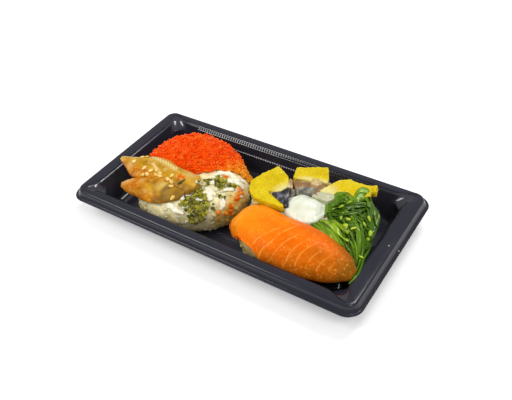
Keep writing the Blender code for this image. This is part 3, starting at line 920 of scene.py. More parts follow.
def buildEel(nodeName, pieceName, seed):
    front = nodeName == "eel_front"
    eel = copyNode(nodeName, pieceName, eelForm["voxel"], 14)
    low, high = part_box(nodeName)
    points = pointsOf(eel)
    along, across, _ = shareIn(nodeName, points)
    up = ease(pointsOf(eel, "normal")[:, 2], 0.0, 0.6)
    blister = eelForm["blister"] * ease(cloudOn(points, 1.9, seed + 4.0), 0.0, 0.5)
    amount = eelForm["fill"] + eelForm["swell"] * cloudOn(points, 8.0, seed) * up
    amount += eelForm["fibre"] * cloudOn(points * [0.12, 1.0, 0.6], 0.9, seed)
    light = 0.0
    if front:
        cooked = fade(along, 0.3, 0.62) * ease(across, 0.1, 0.35)
        cooked = np.maximum(cooked, 0.85 * fade(across, 0.16, 0.4))
    else:
        cooked = fade(across + 0.12 * along, 0.22, 0.42) * (1.0 - 0.7 * ease(along, 0.5, 0.8))
        ridges, light = ridgeBand(points, up)
        amount += ridges
    pushOut(eel, amount + blister * cooked * up)
    # the left end narrows to a thin tip
    moved = pointsOf(eel)
    tip = fade(along, 0.0, 0.3)
    middle = low.y + (high.y - low.y) * (0.45 if front else 0.6)
    moved[:, 1] += 0.3 * tip * (middle - moved[:, 1])
    moved[:, 2] -= 0.35 * tip * np.maximum(moved[:, 2] - low.z - 2.5 * mm, 0.0)
    moved[:, 0] -= 1.2 * mm * tip**2
    if front:
        # the upper edge leans on the back piece
        near, far = ease(across, 0.55, 1.0) * ease(along, 0.0, 0.15), ease(along, 0.62, 1.0)
        moved[:, 0] += 2.6 * mm * far * ease(across, 0.3, 1.0)
        moved[:, 1] += (1.8 + 1.6 * far) * mm * near
        moved[:, 2] += 0.5 * mm * near
        moved[:, 2] -= 0.4 * far * np.maximum(moved[:, 2] - low.z - 2.0 * mm, 0.0) * (1.0 - 0.6 * near)
    setPoints(eel, moved)
    cloud = cloudOn(points, 4.0, seed + 9.0)
    # the low sides take the burnt colour, so the pieces are darker towards the bottom
    lowSide = fade(points[:, 2] - low.z, 1.0 * mm, 4.5 * mm)
    if front:
        char = spotsAt(points, eelForm["frontChar"])
        skin = 0.85 * ease(along + 0.2 * cloud, 0.68, 0.86) * fade(across, 0.7, 1.0)
    else:
        char = 0.6 * spotsAt(points, eelForm["backChar"]) * (0.6 + 0.8 * cloudOn(points, 1.2, 3.0))
        skin = 0.7 * ease(along, 0.68, 0.82) * fade(across - 0.08 * cloud, 0.16, 0.34)
    # painted highlight in soft patches on the upward faces
    light = np.maximum(light, 0.35 * ease(cloudOn(points, 6.0, seed + 1.0), 0.15, 0.6) * up)
    paint(
        eel,
        glaze=np.clip(cooked * (0.95 + 0.4 * cloud) + 0.6 * lowSide, 0.0, 1.0),
        # and painted highlight in a few spots
        light=np.maximum(light, 0.45 * spotsAt(points, eelForm["palePlaces"]) * up),
        char=np.clip(0.75 * char * up, 0.0, 1.0),
        skin=np.clip(skin, 0.0, 0.9),
    )
    hold(eel, "glazed_eel", eelSkin, nodeName)
    lowerTops(eel, *eelForm["top"])
    return treeOf(eel)


eelTrees = [buildEel("eel_back", "eelBack", 31.0), buildEel("eel_front", "eelFront", 35.0)]
leftTrees = [leftRiceTree, leftGrainTree, roeTree, *eelTrees]
print("eel done")

# what lies on the left ring: sesame, mayonnaise, green flakes and loose roe


def seedShape(size, taper):
    # a long ball, narrower at one end
    add = bpy.ops.mesh.primitive_uv_sphere_add
    seed = newShape(add, segments=14, ring_count=9, radius=0.5)
    turned = {"value": math.pi / 2.0, "orient_axis": "Y", "center_override": (0.0, 0.0, 0.0)}
    inEditMode(
        seed,
        lambda: bpy.ops.transform.rotate(**turned),
        lambda: bpy.ops.transform.resize(value=size),
    )
    return finishWith(seed, "SIMPLE_DEFORM", deform_method="TAPER", deform_axis="X", factor=taper)


sesameForm = {
    "size": (3.9 * mm, 2.5 * mm, 1.5 * mm),
    "taper": 0.7,
    "sizes": (0.88, 1.08),
    "lift": 0.45 * mm,
    "places": [  # x, y and turn in degrees
        (-78.6, -21.5, 10), (-76, -15.6, 30), (-73.2, -14, 60), (-60.5, -24.9, 20),
        (-61.9, -27.2, -20), (-65.3, -28.4, 15), (-56.4, -23.2, -30), (-52.7, -24.5, 5),
        (-54.9, -26.4, -15), (-51.3, -26.5, 10), (-43.6, -22.9, 80), (-44.7, -26.1, -10),
        (-41.4, -26.7, -25), (-34.4, -35.5, 85), (-39.6, -29.6, 30), (-34.6, -8, -30),
        (-67, -24, 70),
    ],
}


def buildSesame():
    seed = seedShape(sesameForm["size"], sesameForm["taper"])
    rng = random.Random(41)
    spots = []
    for x, y, degrees in sesameForm["places"]:
        point, normal = dropOn(eelTrees + [leftRiceTree], x, y)
        size = rng.uniform(*sesameForm["sizes"])
        turn = lyingTurn(normal, 0.0, rng.uniform(-0.15, 0.15))
        # turn it about the surface so that its long side points the given way
        long = turn @ Vector((1.0, 0.0, 0.0))
        want = Matrix.Rotation(math.radians(degrees), 3, "Z") @ Vector((1.0, 0.0, 0.0))
        want = (want - normal * want.dot(normal)).normalized()
        turn = long.rotation_difference(want).to_matrix() @ turn
        spots.append((point + normal * sesameForm["lift"], turn, size))
    stops, mask = ((0.0, "dca83c"), (0.5, "ecc866"), (1.0, "f6dc90")), (0.5, 0.8, 0.5)
    look = bitMaterial("sesame", stops, 500.0, mask, "c48f30", Roughness=0.4, Subsurface_Weight=0.2)
    hold(joinCopies("sesameSeeds", seed, spots, 41), "glazed_eel", look)


def creamMaterial(name, low, high):
    material, tree = foodMaterial(name, 0.3, (0.5, (1.0, 0.95, 0.8), 0.003), (0.35, 0.18))
    colour = rampOf(noiseOf(tree, 160.0, 3.0), (0.3, low), (0.7, high))
    return wireUp(material, colour, noiseOf(tree, 600.0, 3.0), 0.0002, 0.4)


mayonnaiseForm = {
    "voxel": 0.38 * mm,
    "fuller": (1.4, 1.05),  # how much wider and higher the ropes are than the list says
    "wave": 0.16,
    "ripple": 0.22 * mm,
    "swell": 0.1 * mm,
    "ropes": [  # width, height and places in millimetres
        (2.9, 2.4, [(-22.4, -6.5), (-22.6, -3.6), (-21.6, -0.2), (-18.6, 2.6), (-14.6, 3.6), (-10.4, 3.4),
            (-7.2, 5), (-5, 6.4)]),
        (2.7, 2, [(-22.3, -5), (-18.6, -4.2), (-14.6, -3.4), (-11.5, -1.6), (-8.5, -0.4), (-5.6, 0.2),
            (-3.4, 2.6)]),
        (2.5, 1.7, [(-22.9, -12.2), (-19.5, -10.3), (-16, -9.6)]),
        (2.2, 1.6, [(-22.6, -15.8), (-20.6, -16.3), (-17.8, -16.2), (-14, -17.6), (-10.4, -17)]),
        (4, 1.5, [(-19.8, -18.6), (-17, -20.8), (-14.6, -22), (-11.7, -21.2)]),
        (2.4, 2.1, [(-29, -35.4), (-29.2, -32.6), (-28.9, -29.8), (-27.4, -28.4), (-25.6, -28.2)]),
        (2.4, 1.6, [(-25.9, -20.6), (-25.2, -17.5), (-25, -14.1)]),
        (3.7, 1.5, [(-36.6, -38.6), (-33, -39.4), (-28.4, -39.3), (-23.6, -38.9)]),
        (1.6, 1.2, [(-22.9, -28.3), (-19.9, -27.2), (-16.8, -26.1)]),
        (3, 1.3, [(-8.2, -16.6), (-5.8, -19.5), (-5.2, -23.4)]),
        (3.4, 1.2, [(-13.6, -11.8), (-9.6, -9.4), (-5.6, -5.6)]),
        (3.2, 1.4, [(-11.8, 1.3), (-6.5, 1.4), (-2.2, 0.2)]),
        (2.8, 1.2, [(-6.3, -3.2), (-2.4, -4.2), (0, -6.4)]),
    ],
}


def buildMayonnaise():
    form = mayonnaiseForm
    strands = []
    for number, (width, height, knots) in enumerate(form["ropes"]):
        found = [dropOn(leftTrees, x, y) for x, y in smoothLine(knots, 0.5)]
        path = [hit[0] + Vector((0.0, 0.0, height * 0.24 * mm)) for hit in found if hit]
        wave = 1.0 + form["wave"] * np.sin(np.arange(len(path)) * 0.55 + number * 1.7)
        wide = form["fuller"][0] * width * mm * wave
        high = form["fuller"][1] * height * mm * wave
        strands.append((levelled(path, 3), [Vector((0, 0, 1))] * len(path), wide, high, 0.5))
    ropes = remeshed(sweptMesh("mayonnaise", strands, 10), form["voxel"], 7)
    pushOut(ropes, form["ripple"] * cloudOn(pointsOf(ropes), 2.2, 4.0) + form["swell"])
    hold(ropes, "cream", creamMaterial("mayonnaise", "f0e6be", "faf4dc"))
    print("mayonnaise ropes:", len(strands))
    return treeOf(ropes)


flakeForm = {
    "size": (3.7 * mm, 2.4 * mm, 0.26 * mm),
    "leftOut": 0.4,
    "leaf": (-34.8, -24.7),  # a dark flake, painted shade in the gap between the eel pieces
    "patches": [  # how many flakes, and the outline in millimetres
        (170, [(-29.8, -35.1), (-28.7, -30.7), (-23.1, -28.3), (-20.6, -25.1), (-15.5, -24.3),
            (-11.9, -26.4), (-10.3, -29), (-13.1, -32), (-16.1, -34.6), (-19.6, -36.3), (-23.1, -36.8)]),
        (60, [(-28.6, -26), (-27.1, -22.4), (-23.9, -19.2), (-20.6, -18.1), (-17.1, -21.9), (-19, -25),
            (-22.8, -26.4)]),
        (62, [(-22.2, -5.3), (-19.9, -2.7), (-14.9, -4), (-11.2, -4.8), (-10.3, -10.9), (-13.4, -12.2),
            (-17.5, -9.6)]),
        (34, [(-11.2, -4.8), (-8.5, -1.7), (-4.2, -1.2), (-3.6, -4.5), (-7.5, -6.9)]),
        (22, [(-27.5, -10.7), (-24.6, -6.6), (-21.6, -8.5), (-23.9, -12.2)]),
        (34, [(-22, -37.3), (-12.2, -31), (-11.6, -34.2), (-16.2, -37.5), (-19.6, -39.4)]),
        (14, [(-11.7, -17.1), (-7.8, -14.7), (-6.2, -16.1), (-10, -18.5)]),
        (7, [(-11.2, -23.8), (-8.6, -23.1), (-7.2, -25.4), (-10, -26.9)]),
        (10, [(-27, -20), (-22, -12), (-20.5, -14), (-24.5, -20.5)]),
    ],
}


def insideOf(outline, x, y):
    odd = False
    for (ax, ay), (bx, by) in zip(outline, outline[1:] + outline[:1]):
        if (ay > y) != (by > y) and x < (bx - ax) * (y - ay) / (by - ay) + ax:
            odd = not odd
    return odd


def buildFlakes(ground):
    flake = newShape(bpy.ops.mesh.primitive_ico_sphere_add, subdivisions=2, radius=0.5)
    inEditMode(flake, lambda: bpy.ops.transform.resize(value=flakeForm["size"]))
    points = pointsOf(flake)
    ragged = 1.0 + 0.75 * cloudOn(points * [1.0, 1.0, 0.0], 1.0, 7.0)
    bent = points[:, 2] + 0.6 * mm * cloudOn(points * [1.0, 1.0, 0.0], 1.9, 3.0)
    setPoints(flake, np.column_stack([points[:, 0] * ragged, points[:, 1] * ragged, bent]))
    rng = random.Random(43)
    spots = []
    for count, outline in flakeForm["patches"]:
        xs, ys = zip(*outline)
        made = 0
        while made < count:
            x, y = rng.uniform(min(xs), max(xs)), rng.uniform(min(ys), max(ys))
            if not insideOf(outline, x, y):
                continue
            made += 1
            if rng.random() < flakeForm["leftOut"]:
                continue
            found, eel = dropOn(ground, x, y), dropOn(eelTrees, x, y)
            if not found or (eel and (eel[0] - found[0]).length < 0.5 * mm):
                continue
            point, normal = found
            turn = lyingTurn(normal, rng.uniform(0.0, math.tau), rng.uniform(-0.6, 0.6))
            size = rng.uniform(0.5, 1.0) + 0.6 * rng.random() ** 4
            shape = (size * rng.uniform(0.8, 1.3), size * rng.uniform(0.7, 1.3), rng.uniform(0.7, 1.2))
            spots.append((point + normal * rng.uniform(0.05, 0.5) * mm, turn, shape))
    # one dark flake as painted shade in the gap between the eel pieces
    point, normal = dropOn(ground, *flakeForm["leaf"])
    spots.append((point + normal * 0.2 * mm, lyingTurn(normal, 0.4), (1.9, 0.8, 0.8), 0.08))
    stops, mask = ((0.0, "30320a"), (0.25, "5c5c0a"), (0.6, "958c12"), (1.0, "d2c63e")), (0.4, 0.75, 0.6)
    sockets = {"Roughness": 0.5, "Specular_IOR_Level": 0.3, "Subsurface_Weight": 0.1}
    look = bitMaterial("driedSeaweed", stops, 900.0, mask, "5c6008", **sockets)
    hold(joinCopies("greenFlakes", flake, spots, 43), "seaweed", look)
    print("green flakes:", len(spots))


looseRoeForm = {
    "scatter": 0.6,  # in millimetres
    "size": (1.4, 2.1),
    "flat": (1.15, 1.15, 0.6),
    "places": [  # x, y and how many beads, roughly
        (-2.6, -2.5, 5), (-1.6, -5, 6), (-1.8, -8.6, 8), (-0.7, -10.6, 4), (-1.8, -15.8, 5),
        (-1.3, -18.2, 5), (-1.2, -20.2, 5), (-2.2, -21.6, 4), (-5.4, -26.4, 2), (-16.4, 0.4, 4),
        (-39.6, -20.8, 5), (-37.6, -21.6, 5), (-38.8, -22.6, 3), (-1, 5.5, 5),
    ],
}


def buildLooseRoe(ground):
    form = looseRoeForm
    rng = random.Random(44)
    spots = []
    for x, y, count in form["places"]:
        for _ in range(count // 2 + 2):
            found = dropOn(ground, x + rng.gauss(0.0, form["scatter"]), y + rng.gauss(0.0, form["scatter"]))
            if found:
                size = rng.uniform(*form["size"])
                flat = [size * share for share in form["flat"]]
                spots.append((found[0] - found[1] * 0.2 * mm, lyingTurn(found[1], 0.0), flat))
    loose = joinCopies("looseRoe", beadShape(), spots, 44)
    paint(loose, pale=0.35 + 0.5 * cloudOn(pointsOf(loose), 3.0, 8.0))
    hold(loose, "orange_roe", fishRoe)
    print("loose roe:", len(spots))


buildSesame()
leftTrees.append(buildMayonnaise())
buildFlakes(leftTrees)
buildLooseRoe(leftTrees)

# salmon
salmonForm = {
    "voxel": 0.45 * mm,
    "swell": 0.5 * mm,
    "waves": 0.45 * mm,  # soft and wide, and the small ripples on them
    "ripples": 0.1 * mm,
    "creases": 0.9 * mm,  # at the left end
    "furrows": 0.14 * mm,  # along the lines of fat and the painted edge highlight
    "lineWidth": (0.27, 0.14),  # and how much it varies along a line
    "lines": [  # the thin lines of fat, and last a painted highlight along the left cut edge: strength, and the line in millimetres
        (0.8, [(33.6, -42.5), (34.6, -40), (36.7, -37.9), (40.9, -33.1), (46.1, -26.3)]),
        (0.9, [(39.5, -46.6), (40.9, -42.7), (44.2, -38.5), (46.7, -32.1), (50, -27), (54.9, -18.4)]),
        (0.6, [(47.9, -45.1), (49.1, -42.2), (51.9, -36.3), (55.8, -29.9), (57.9, -25.1)]),
        (0.6, [(55.9, -46.2), (57.2, -43.8), (57.8, -40.5), (60, -35), (63.4, -29), (65.4, -25.4)]),
        (0.6, [(63.2, -44.1), (63.4, -40.9), (64.5, -36.9), (67.3, -31), (70.5, -25.5)]),
        (0.45, [(69.7, -40.1), (71.3, -35.8), (73.5, -30.1), (76.1, -24.9)]),
        (0.45, [(75.6, -41.2), (77, -36.4), (79.5, -30), (82, -25)]),
        (0.2, [(27, -38), (31, -32), (36, -25.5), (42, -17.5)]),
        (0.3, [(82.5, -38), (84, -32), (86.5, -26)]),
        # no fat: a painted highlight along the cut edge at the left end
        (0.8, [(13.9, -34.2), (15.3, -32.2), (16.3, -29.6), (17.7, -26.9), (18.6, -24.1), (20.5, -21.4)]),
    ],
}


def salmonMaterial():
    inside, coat, shine = (0.2, (1.0, 0.45, 0.1), 0.0015), (0.03, 0.05), (0.22, "ff9020")
    material, tree = foodMaterial("rawSalmon", 0.36, inside, coat, shine)
    # deeper orange with painted shade lower down, and towards the right end
    codes = ((0.0, "fa9c14"), (0.3, "f5860a"), (0.6, "ea6804"), (0.8, "cf6006"), (1.0, "aa5606"))
    warm = rampOf(attributeOf(tree, "depth"), *codes)
    colour = mixOf(maskOf(noiseOf(tree, 300.0, 6.0, 0.7), 0.45, 0.75, 0.3), warm, "ffa22c")
    colour = mixOf(maskOf(noiseOf(tree, 90.0, 3.0), 0.45, 0.75, 0.28), colour, "f06004")
    # pale lines of fat, the last a painted highlight, and the olive tip
    colour = painted("tip", painted("fat", colour, "ffb04c"), "8f5c14")
    # light specks: the fine grain of the flesh, and painted glints of its wet surface
    specks = maskOf(noiseOf(tree, 750.0, stretch=(1.0, 0.7, 1.0)), 0.58, 0.72, 0.45)
    fine = noiseOf(tree, 1000.0, 3.0, stretch=(1.0, 0.5, 1.0))
    return wireUp(material, mixOf(specks, colour, "ffae48"), fine, 0.0003, 0.6)


def awayFrom(points, line):
    # distance in plan from each point to a line of knots, and how far along it the point lies
    best, share = np.full(len(points), 1.0), np.zeros(len(points))
    flat = points[:, :2] / mm
    line = smoothLine(line, 1.5)
    for number, (a, b) in enumerate(zip(line, line[1:])):
        t = np.clip(((flat - a) @ (b - a)) / ((b - a) @ (b - a)), 0.0, 1.0)
        gap = np.linalg.norm(flat - a - t[:, None] * (b - a), axis=1) * mm
        closer = gap < best
        best[closer], share[closer] = gap[closer], ((number + t) / (len(line) - 1))[closer]
    return best, share


def buildSalmon():
    form = salmonForm
    salmon = copyNode("salmon_slice", "salmonSlice", form["voxel"], 36)
    points, normals = pointsOf(salmon), pointsOf(salmon, "normal")
    along, _, height = shareIn("salmon_slice", points)
    up = ease(normals[:, 2] - 0.6 * normals[:, 1], 0.1, 0.5)
    wobble = 0.3 * mm * cloudOn(points, 3.0, 2.0)
    fat = np.zeros(len(points))
    width, change = form["lineWidth"]
    for strength, line in form["lines"]:
        gap, share = awayFrom(points, line)
        thin = (width + change * np.sin(share * 7.0 + line[0][0])) * mm
        mark = np.exp(-(((gap + wobble * 0.5) / thin) ** 2)) * fade(share, 0.7, 1.0)
        fat = np.maximum(fat, strength * mark * up)
    amount = form["waves"] * cloudOn(points, 12.0, 1.0) + form["ripples"] * cloudOn(points, 2.4, 6.0)
    # the lines of fat and the painted edge highlight are shallow furrows, and the left end is creased
    end = fade(along, 0.03, 0.2)
    creases = np.abs(cloudOn(points * [1.0, 0.4, 0.8], 3.6, 8.0))
    amount += form["creases"] * end * (0.35 - creases) - form["furrows"] * fat
    pushOut(salmon, amount * np.maximum(up, 0.8 * end) + form["swell"])
    # the hem stops higher at the front left, where the rice shows below it
    moved = pointsOf(salmon)
    x = moved[:, 0] / mm
    hem = 16.0 + 9.0 * ease(x, 12.0, 21.0) - 13.0 * ease(x, 31.0, 50.0) + 0.8 * cloudOn(moved, 5.0, 12.0)
    under = np.minimum(moved[:, 2] - hem * mm, 0.0)
    moved[:, 2] -= 0.8 * under
    moved[:, 1] -= 0.35 * under * ease(x, 10.0, 20.0)
    setPoints(salmon, moved)
    # deeper orange lower down the slice, which is painted shade, deeper at the right end and the very left
    # edge, and paler over the left part
    depth = 0.95 - 0.75 * height + 0.55 * along + 0.16 * cloudOn(points, 9.0, 3.0)
    depth += 0.35 * fade(along, 0.01, 0.07) - 0.30 * fade(along, 0.0, 0.4)
    x, y, _ = (points / mm).T
    tip = ease(along + 0.05 * cloudOn(points, 5.0, 7.0), 0.84, 0.99)
    tip = np.maximum(tip, 0.55 * ease(y + 0.9 * (x - 70.0), -18.0, -8.0))
    paint(salmon, fat=0.85 * fat, depth=np.clip(depth, 0.0, 1.0), tip=0.92 * tip)
    hold(salmon, "salmon", salmonMaterial(), "salmon_slice")
    print("salmon done")
    return treeOf(salmon)


salmonTree = buildSalmon()

# pressed herring with its roe
herringForm = {
    "voxel": 0.42 * mm,
    "egg": 0.8,
    "relief": 0.26 * mm,
    "inward": 2.0 * mm,  # how far the fillets reach in under the cream
    "paleEdge": ((23.0, 27.0), (24.0, 28.0), (24.0, 30.0)),  # of each roe, from the ring's middle
    "sunk": (11.0, 14.0),  # the third fillet lies lower in front of this y, below the clear strip
    "lean": (24.0 * mm, 0.07),  # the low roe leans down towards the cream, in front of this y
    "bits": [  # silver share, pale share, name, from z to z, seed and outline in millimetres
        (0, 0.55, "herringFlake", 31.6, 34, 4, [(39.8, 17.4), (40, 21), (43.1, 22.5), (46.8, 21.7),
            (48, 18.6), (45.4, 15.2), (41.6, 15)]),
        (0.1, 0.3, "herringEnd", 28.6, 32.2, 6, [(25.3, 12.8), (25.2, 15.6), (27.7, 15.3), (30.4, 10.7),
            (32.6, 6.2), (30, 5.6)]),
        (0.8, 0, "herringInner", 28, 31.4, 8, [(29.6, 4), (29.8, 8.4), (33.4, 8.6), (36, 4.4), (34.6, 0.4),
            (31.4, 0.6)]),
        (0.2, 0.75, "herringLowBit", 26.6, 29.4, 3, [(12.4, -12.6), (12, -8.8), (15.4, -7), (19.2, -9),
            (18, -13.6), (15.1, -15)]),
    ],
    "roeBits": [  # the same without the shares
        ("herringRoeInner", 30, 33.8, 14, [(14.6, 15.6), (18.1, 18.6), (24.6, 14.6), (28.6, 7), (29.1, 1.6),
            (24.4, -3), (19.5, -3.4), (15.5, 3.7)]),
        ("herringRoeLow", 29.4, 34.3, 15, [(53.7, 23.3), (59.6, 28.9), (68.6, 29), (76.8, 31.5),
            (79.4, 23.2), (76.3, 17.9), (72, 12.3), (64.2, 11.2), (55.8, 9.8), (50.3, 9.9), (49.1, 12.8)]),
    ],
    "clearStrip": ("herringStrip", 30, 34.3, 5, [(47, 5.2), (48.4, 9), (51, 11.6), (56.6, 13),
        (60.6, 12.4), (60.8, 8.8), (58.8, 5.2), (54.3, 4.8)]),
}


def herringRoeMaterial():
    inside, shine = (0.35, (1.0, 0.8, 0.15), 0.0018), (0.3, "ffe070")
    material, tree = foodMaterial("herringRoe", 0.42, inside, shine=shine)
    cells = addNode(tree, "TexVoronoi", {"Scale": 1200.0}, Vector=objectSpot(tree)).outputs["Distance"]
    colour = rampOf(noiseOf(tree, 130.0, 3.0), (0.3, "dcc00a"), (0.5, "ecd214"), (0.75, "f4de34"))
    colour = mixOf(maskOf(cells, 0.3, 0.8, 0.5), colour, "b89408")
    return wireUp(material, painted("pale", colour, "efe49a"), cells, -0.0005, 0.9)


def herringFleshMaterial():
    material, tree = foodMaterial("herringFlesh", 0.26, (0.2, (1.0, 0.7, 0.4), 0.002), (0.35, 0.1))
    layers = noiseOf(tree, 260.0, 3.0, stretch=(1.0, 0.5, 1.0))
    flesh = rampOf(layers, (0.3, "7d5a33"), (0.55, "9a7444"), (0.8, "b8905a"))
    silver = rampOf(layers, (0.3, "46463e"), (0.5, "767468"), (0.72, "aeac98"))
    dark = rampOf(layers, (0.4, "121016"), (0.54, "2a2630"), (0.66, "7a7680"))
    colour = painted("pale", painted("silver", flesh, silver), "e2c888")
    return wireUp(material, painted("dark", colour, dark), layers, 0.0003, 0.25)


herringRoe, herringFlesh = herringRoeMaterial(), herringFleshMaterial()
ringMiddle = (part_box("rice_right")[0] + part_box("rice_right")[1]) / 2.0


def fromMiddle(points):
    # the way out from the right ring's middle in plan, and how far that is in millimetres
    away = points[:, :2] - np.array([ringMiddle.x, ringMiddle.y])
    return away, np.linalg.norm(away, axis=1) / mm


def buildHerringRoe(number, nodeName):
    roe = copyNode(nodeName, f"herringRoe{number}", herringForm["voxel"], 3)
    points = pointsOf(roe)
    eggs = 0.55 - cellsOn(points, herringForm["egg"], number)
    broken = 0.4 * mm * cloudOn(points, 3.0, number) + 0.25 * mm * cloudOn(points, 1.3, number)
    pushOut(roe, herringForm["relief"] * eggs + broken + 0.15 * mm)
    reach = fromMiddle(points)[1] + 1.5 * cloudOn(points, 4.0, number + 3.0)
    upper = ease(points[:, 1] / mm, -6.0, 0.0) if number == 1 else 1.0
    paint(roe, pale=0.7 * upper * fade(reach, *herringForm["paleEdge"][number - 1]))
    hold(roe, "yellow_roe", herringRoe, nodeName)


def buildHerringFillet(number, nodeName):
    flesh = copyNode(nodeName, f"herringFillet{number}", herringForm["voxel"], 10)
    points, normals = pointsOf(flesh), pointsOf(flesh, "normal")
    away, reach = fromMiddle(points)
    inward = -(normals[:, :2] * away).sum(axis=1) / (reach * mm)
    x, y, _ = (points / mm).T
    layered = cloudOn(points * [1.0, 0.3, 1.0], 1.4, number)
    cloud = cloudOn(points, 3.0, number)
    amount = 0.08 * mm * layered + 0.3 * mm * cloud + 0.35 * mm
    if number == 3:
        amount -= 1.2 * mm * fade(y, *herringForm["sunk"])
    pushOut(flesh, amount + herringForm["inward"] * ease(inward, 0.2, 0.8))
    silver = fade(reach + cloud, 15.0, 17.0)
    pale, dark = 1.0 - 0.7 * silver, 0.0
    if number == 1:
        skin = fade(reach + 0.8 * cloud - 4.0 * ease(-y, 0.0, 4.0), 19.5, 21.0)
        silver, pale = 0.8 * ease(y + 3.0 * cloud, 1.0, 6.0), 1.0 - skin
        dark = skin * (1.0 - 0.75 * ease(y + 2.0 * cloud, 2.0, 6.0))
    if number == 2:
        silver = np.maximum(fade(reach + 0.8 * cloud, 16.2, 17.2), ease(inward, 0.45, 0.7))
        silver *= ease(x + 1.5 * cloud, 31.5, 35.0) * fade(x, 46.5, 48.5)
        pale = 0.3 * ease(cloud, 0.2, 0.5)
    paint(flesh, silver=silver, pale=pale, dark=dark)
    hold(flesh, "herring", herringFlesh, nodeName)


def cutSlab(name, low, high, seed, outline):
    # a thin bit of fish cut to an outline in millimetres, its edges rounded
    corners = {"vertices": len(outline), "radius": mm, "fill_type": "NGON"}
    slab = newShape(bpy.ops.mesh.primitive_circle_add, **corners)
    slab.name = name
    setPoints(slab, np.array([(x * mm, y * mm, low * mm) for x, y in outline]))
    rise = {"value": (0.0, 0.0, (high - low) * mm)}
    inEditMode(
        slab,
        lambda: bpy.ops.mesh.extrude_region_move(TRANSFORM_OT_translate=rise),
        lambda: bpy.ops.mesh.select_all(action="SELECT"),
        lambda: bpy.ops.mesh.normals_make_consistent(inside=False),
    )
    remeshed(slab, 0.4 * mm, 10, 0.6)
    points = pointsOf(slab)
    pushOut(slab, 0.35 * mm * cloudOn(points, 2.6, seed) + 0.12 * mm * cloudOn(points, 1.2, seed))
    return slab


def fleshBit(silver, pale, *cut):
    bit = cutSlab(*cut)
    cloud = 0.3 * cloudOn(pointsOf(bit), 2.5, cut[3])
    paint(bit, silver=np.clip(silver + cloud, 0.0, 1.0), pale=np.clip(pale + cloud, 0.0, 1.0), dark=0.0)
    hold(bit, "herring", herringFlesh)


def roeBit(*cut):
    # a broken part of the pressed roe, paler towards the middle of the ring
    bit, seed = cutSlab(*cut), cut[3]
    points = pointsOf(bit)
    pushOut(bit, herringForm["relief"] * (0.55 - cellsOn(points, herringForm["egg"], seed)) + 0.2 * mm)
    reach = fromMiddle(points)[1] + 1.5 * cloudOn(points, 4.0, seed)
    paint(bit, pale=0.85 * fade(reach, 20.0, 27.5))
    return hold(bit, "yellow_roe", herringRoe)


def buildHerring():
    for number in (1, 2, 3):
        buildHerringRoe(number, f"herring_roe_{number}")
        buildHerringFillet(number, f"herring_fillet_{number}")
    for bit in herringForm["bits"]:
        fleshBit(*bit)
    _, lowRoe = (roeBit(*bit) for bit in herringForm["roeBits"])
    moved = pointsOf(lowRoe)
    start, share = herringForm["lean"]
    moved[:, 2] -= share * np.maximum(start - moved[:, 1], 0.0)
    setPoints(lowRoe, moved)
    hold(cutSlab(*herringForm["clearStrip"]), "herring", creamMaterial("clearFlesh", "acac88", "cccca8"))
    print("herring done")
    return treeOf(lowRoe)


lowRoeTree = buildHerring()

# cream
creamForm = {
    "voxel": 0.5 * mm,
    "folds": 2.6 * mm,
    "lumps": 0.35 * mm,
    "swell": 0.7 * mm,
    "sides": 1.7 * mm,  # how much more the sides swell than the top
    "brownBit": (0, 0.1, "brownBit", 28.6, 30.6, 9, [(49.4, -12.4), (50.4, -11), (52.8, -11.2),
        (53.6, -13), (52, -14.4), (50.2, -14.2)]),
}


def buildCream():
    form = creamForm
    cream = copyNode("cream_dollop", "creamDollop", form["voxel"], 12)
    points, normals = pointsOf(cream), pointsOf(cream, "normal")
    folds = np.abs(cloudOn(points * [1.0, 0.7, 0.8], 8.0, 4.0))
    lumps = cloudOn(points, 3.4, 9.0)
    side = fade(normals[:, 2], 0.3, 0.9)
    amount = form["folds"] * (0.3 - folds) + form["lumps"] * lumps + form["sides"] * side
    pushOut(cream, amount + form["swell"])
    hold(cream, "cream", creamMaterial("thickCream", "e2e6cc", "f2f5e6"), "cream_dollop")
    fleshBit(*form["brownBit"])
    print("cream done")


buildCream()

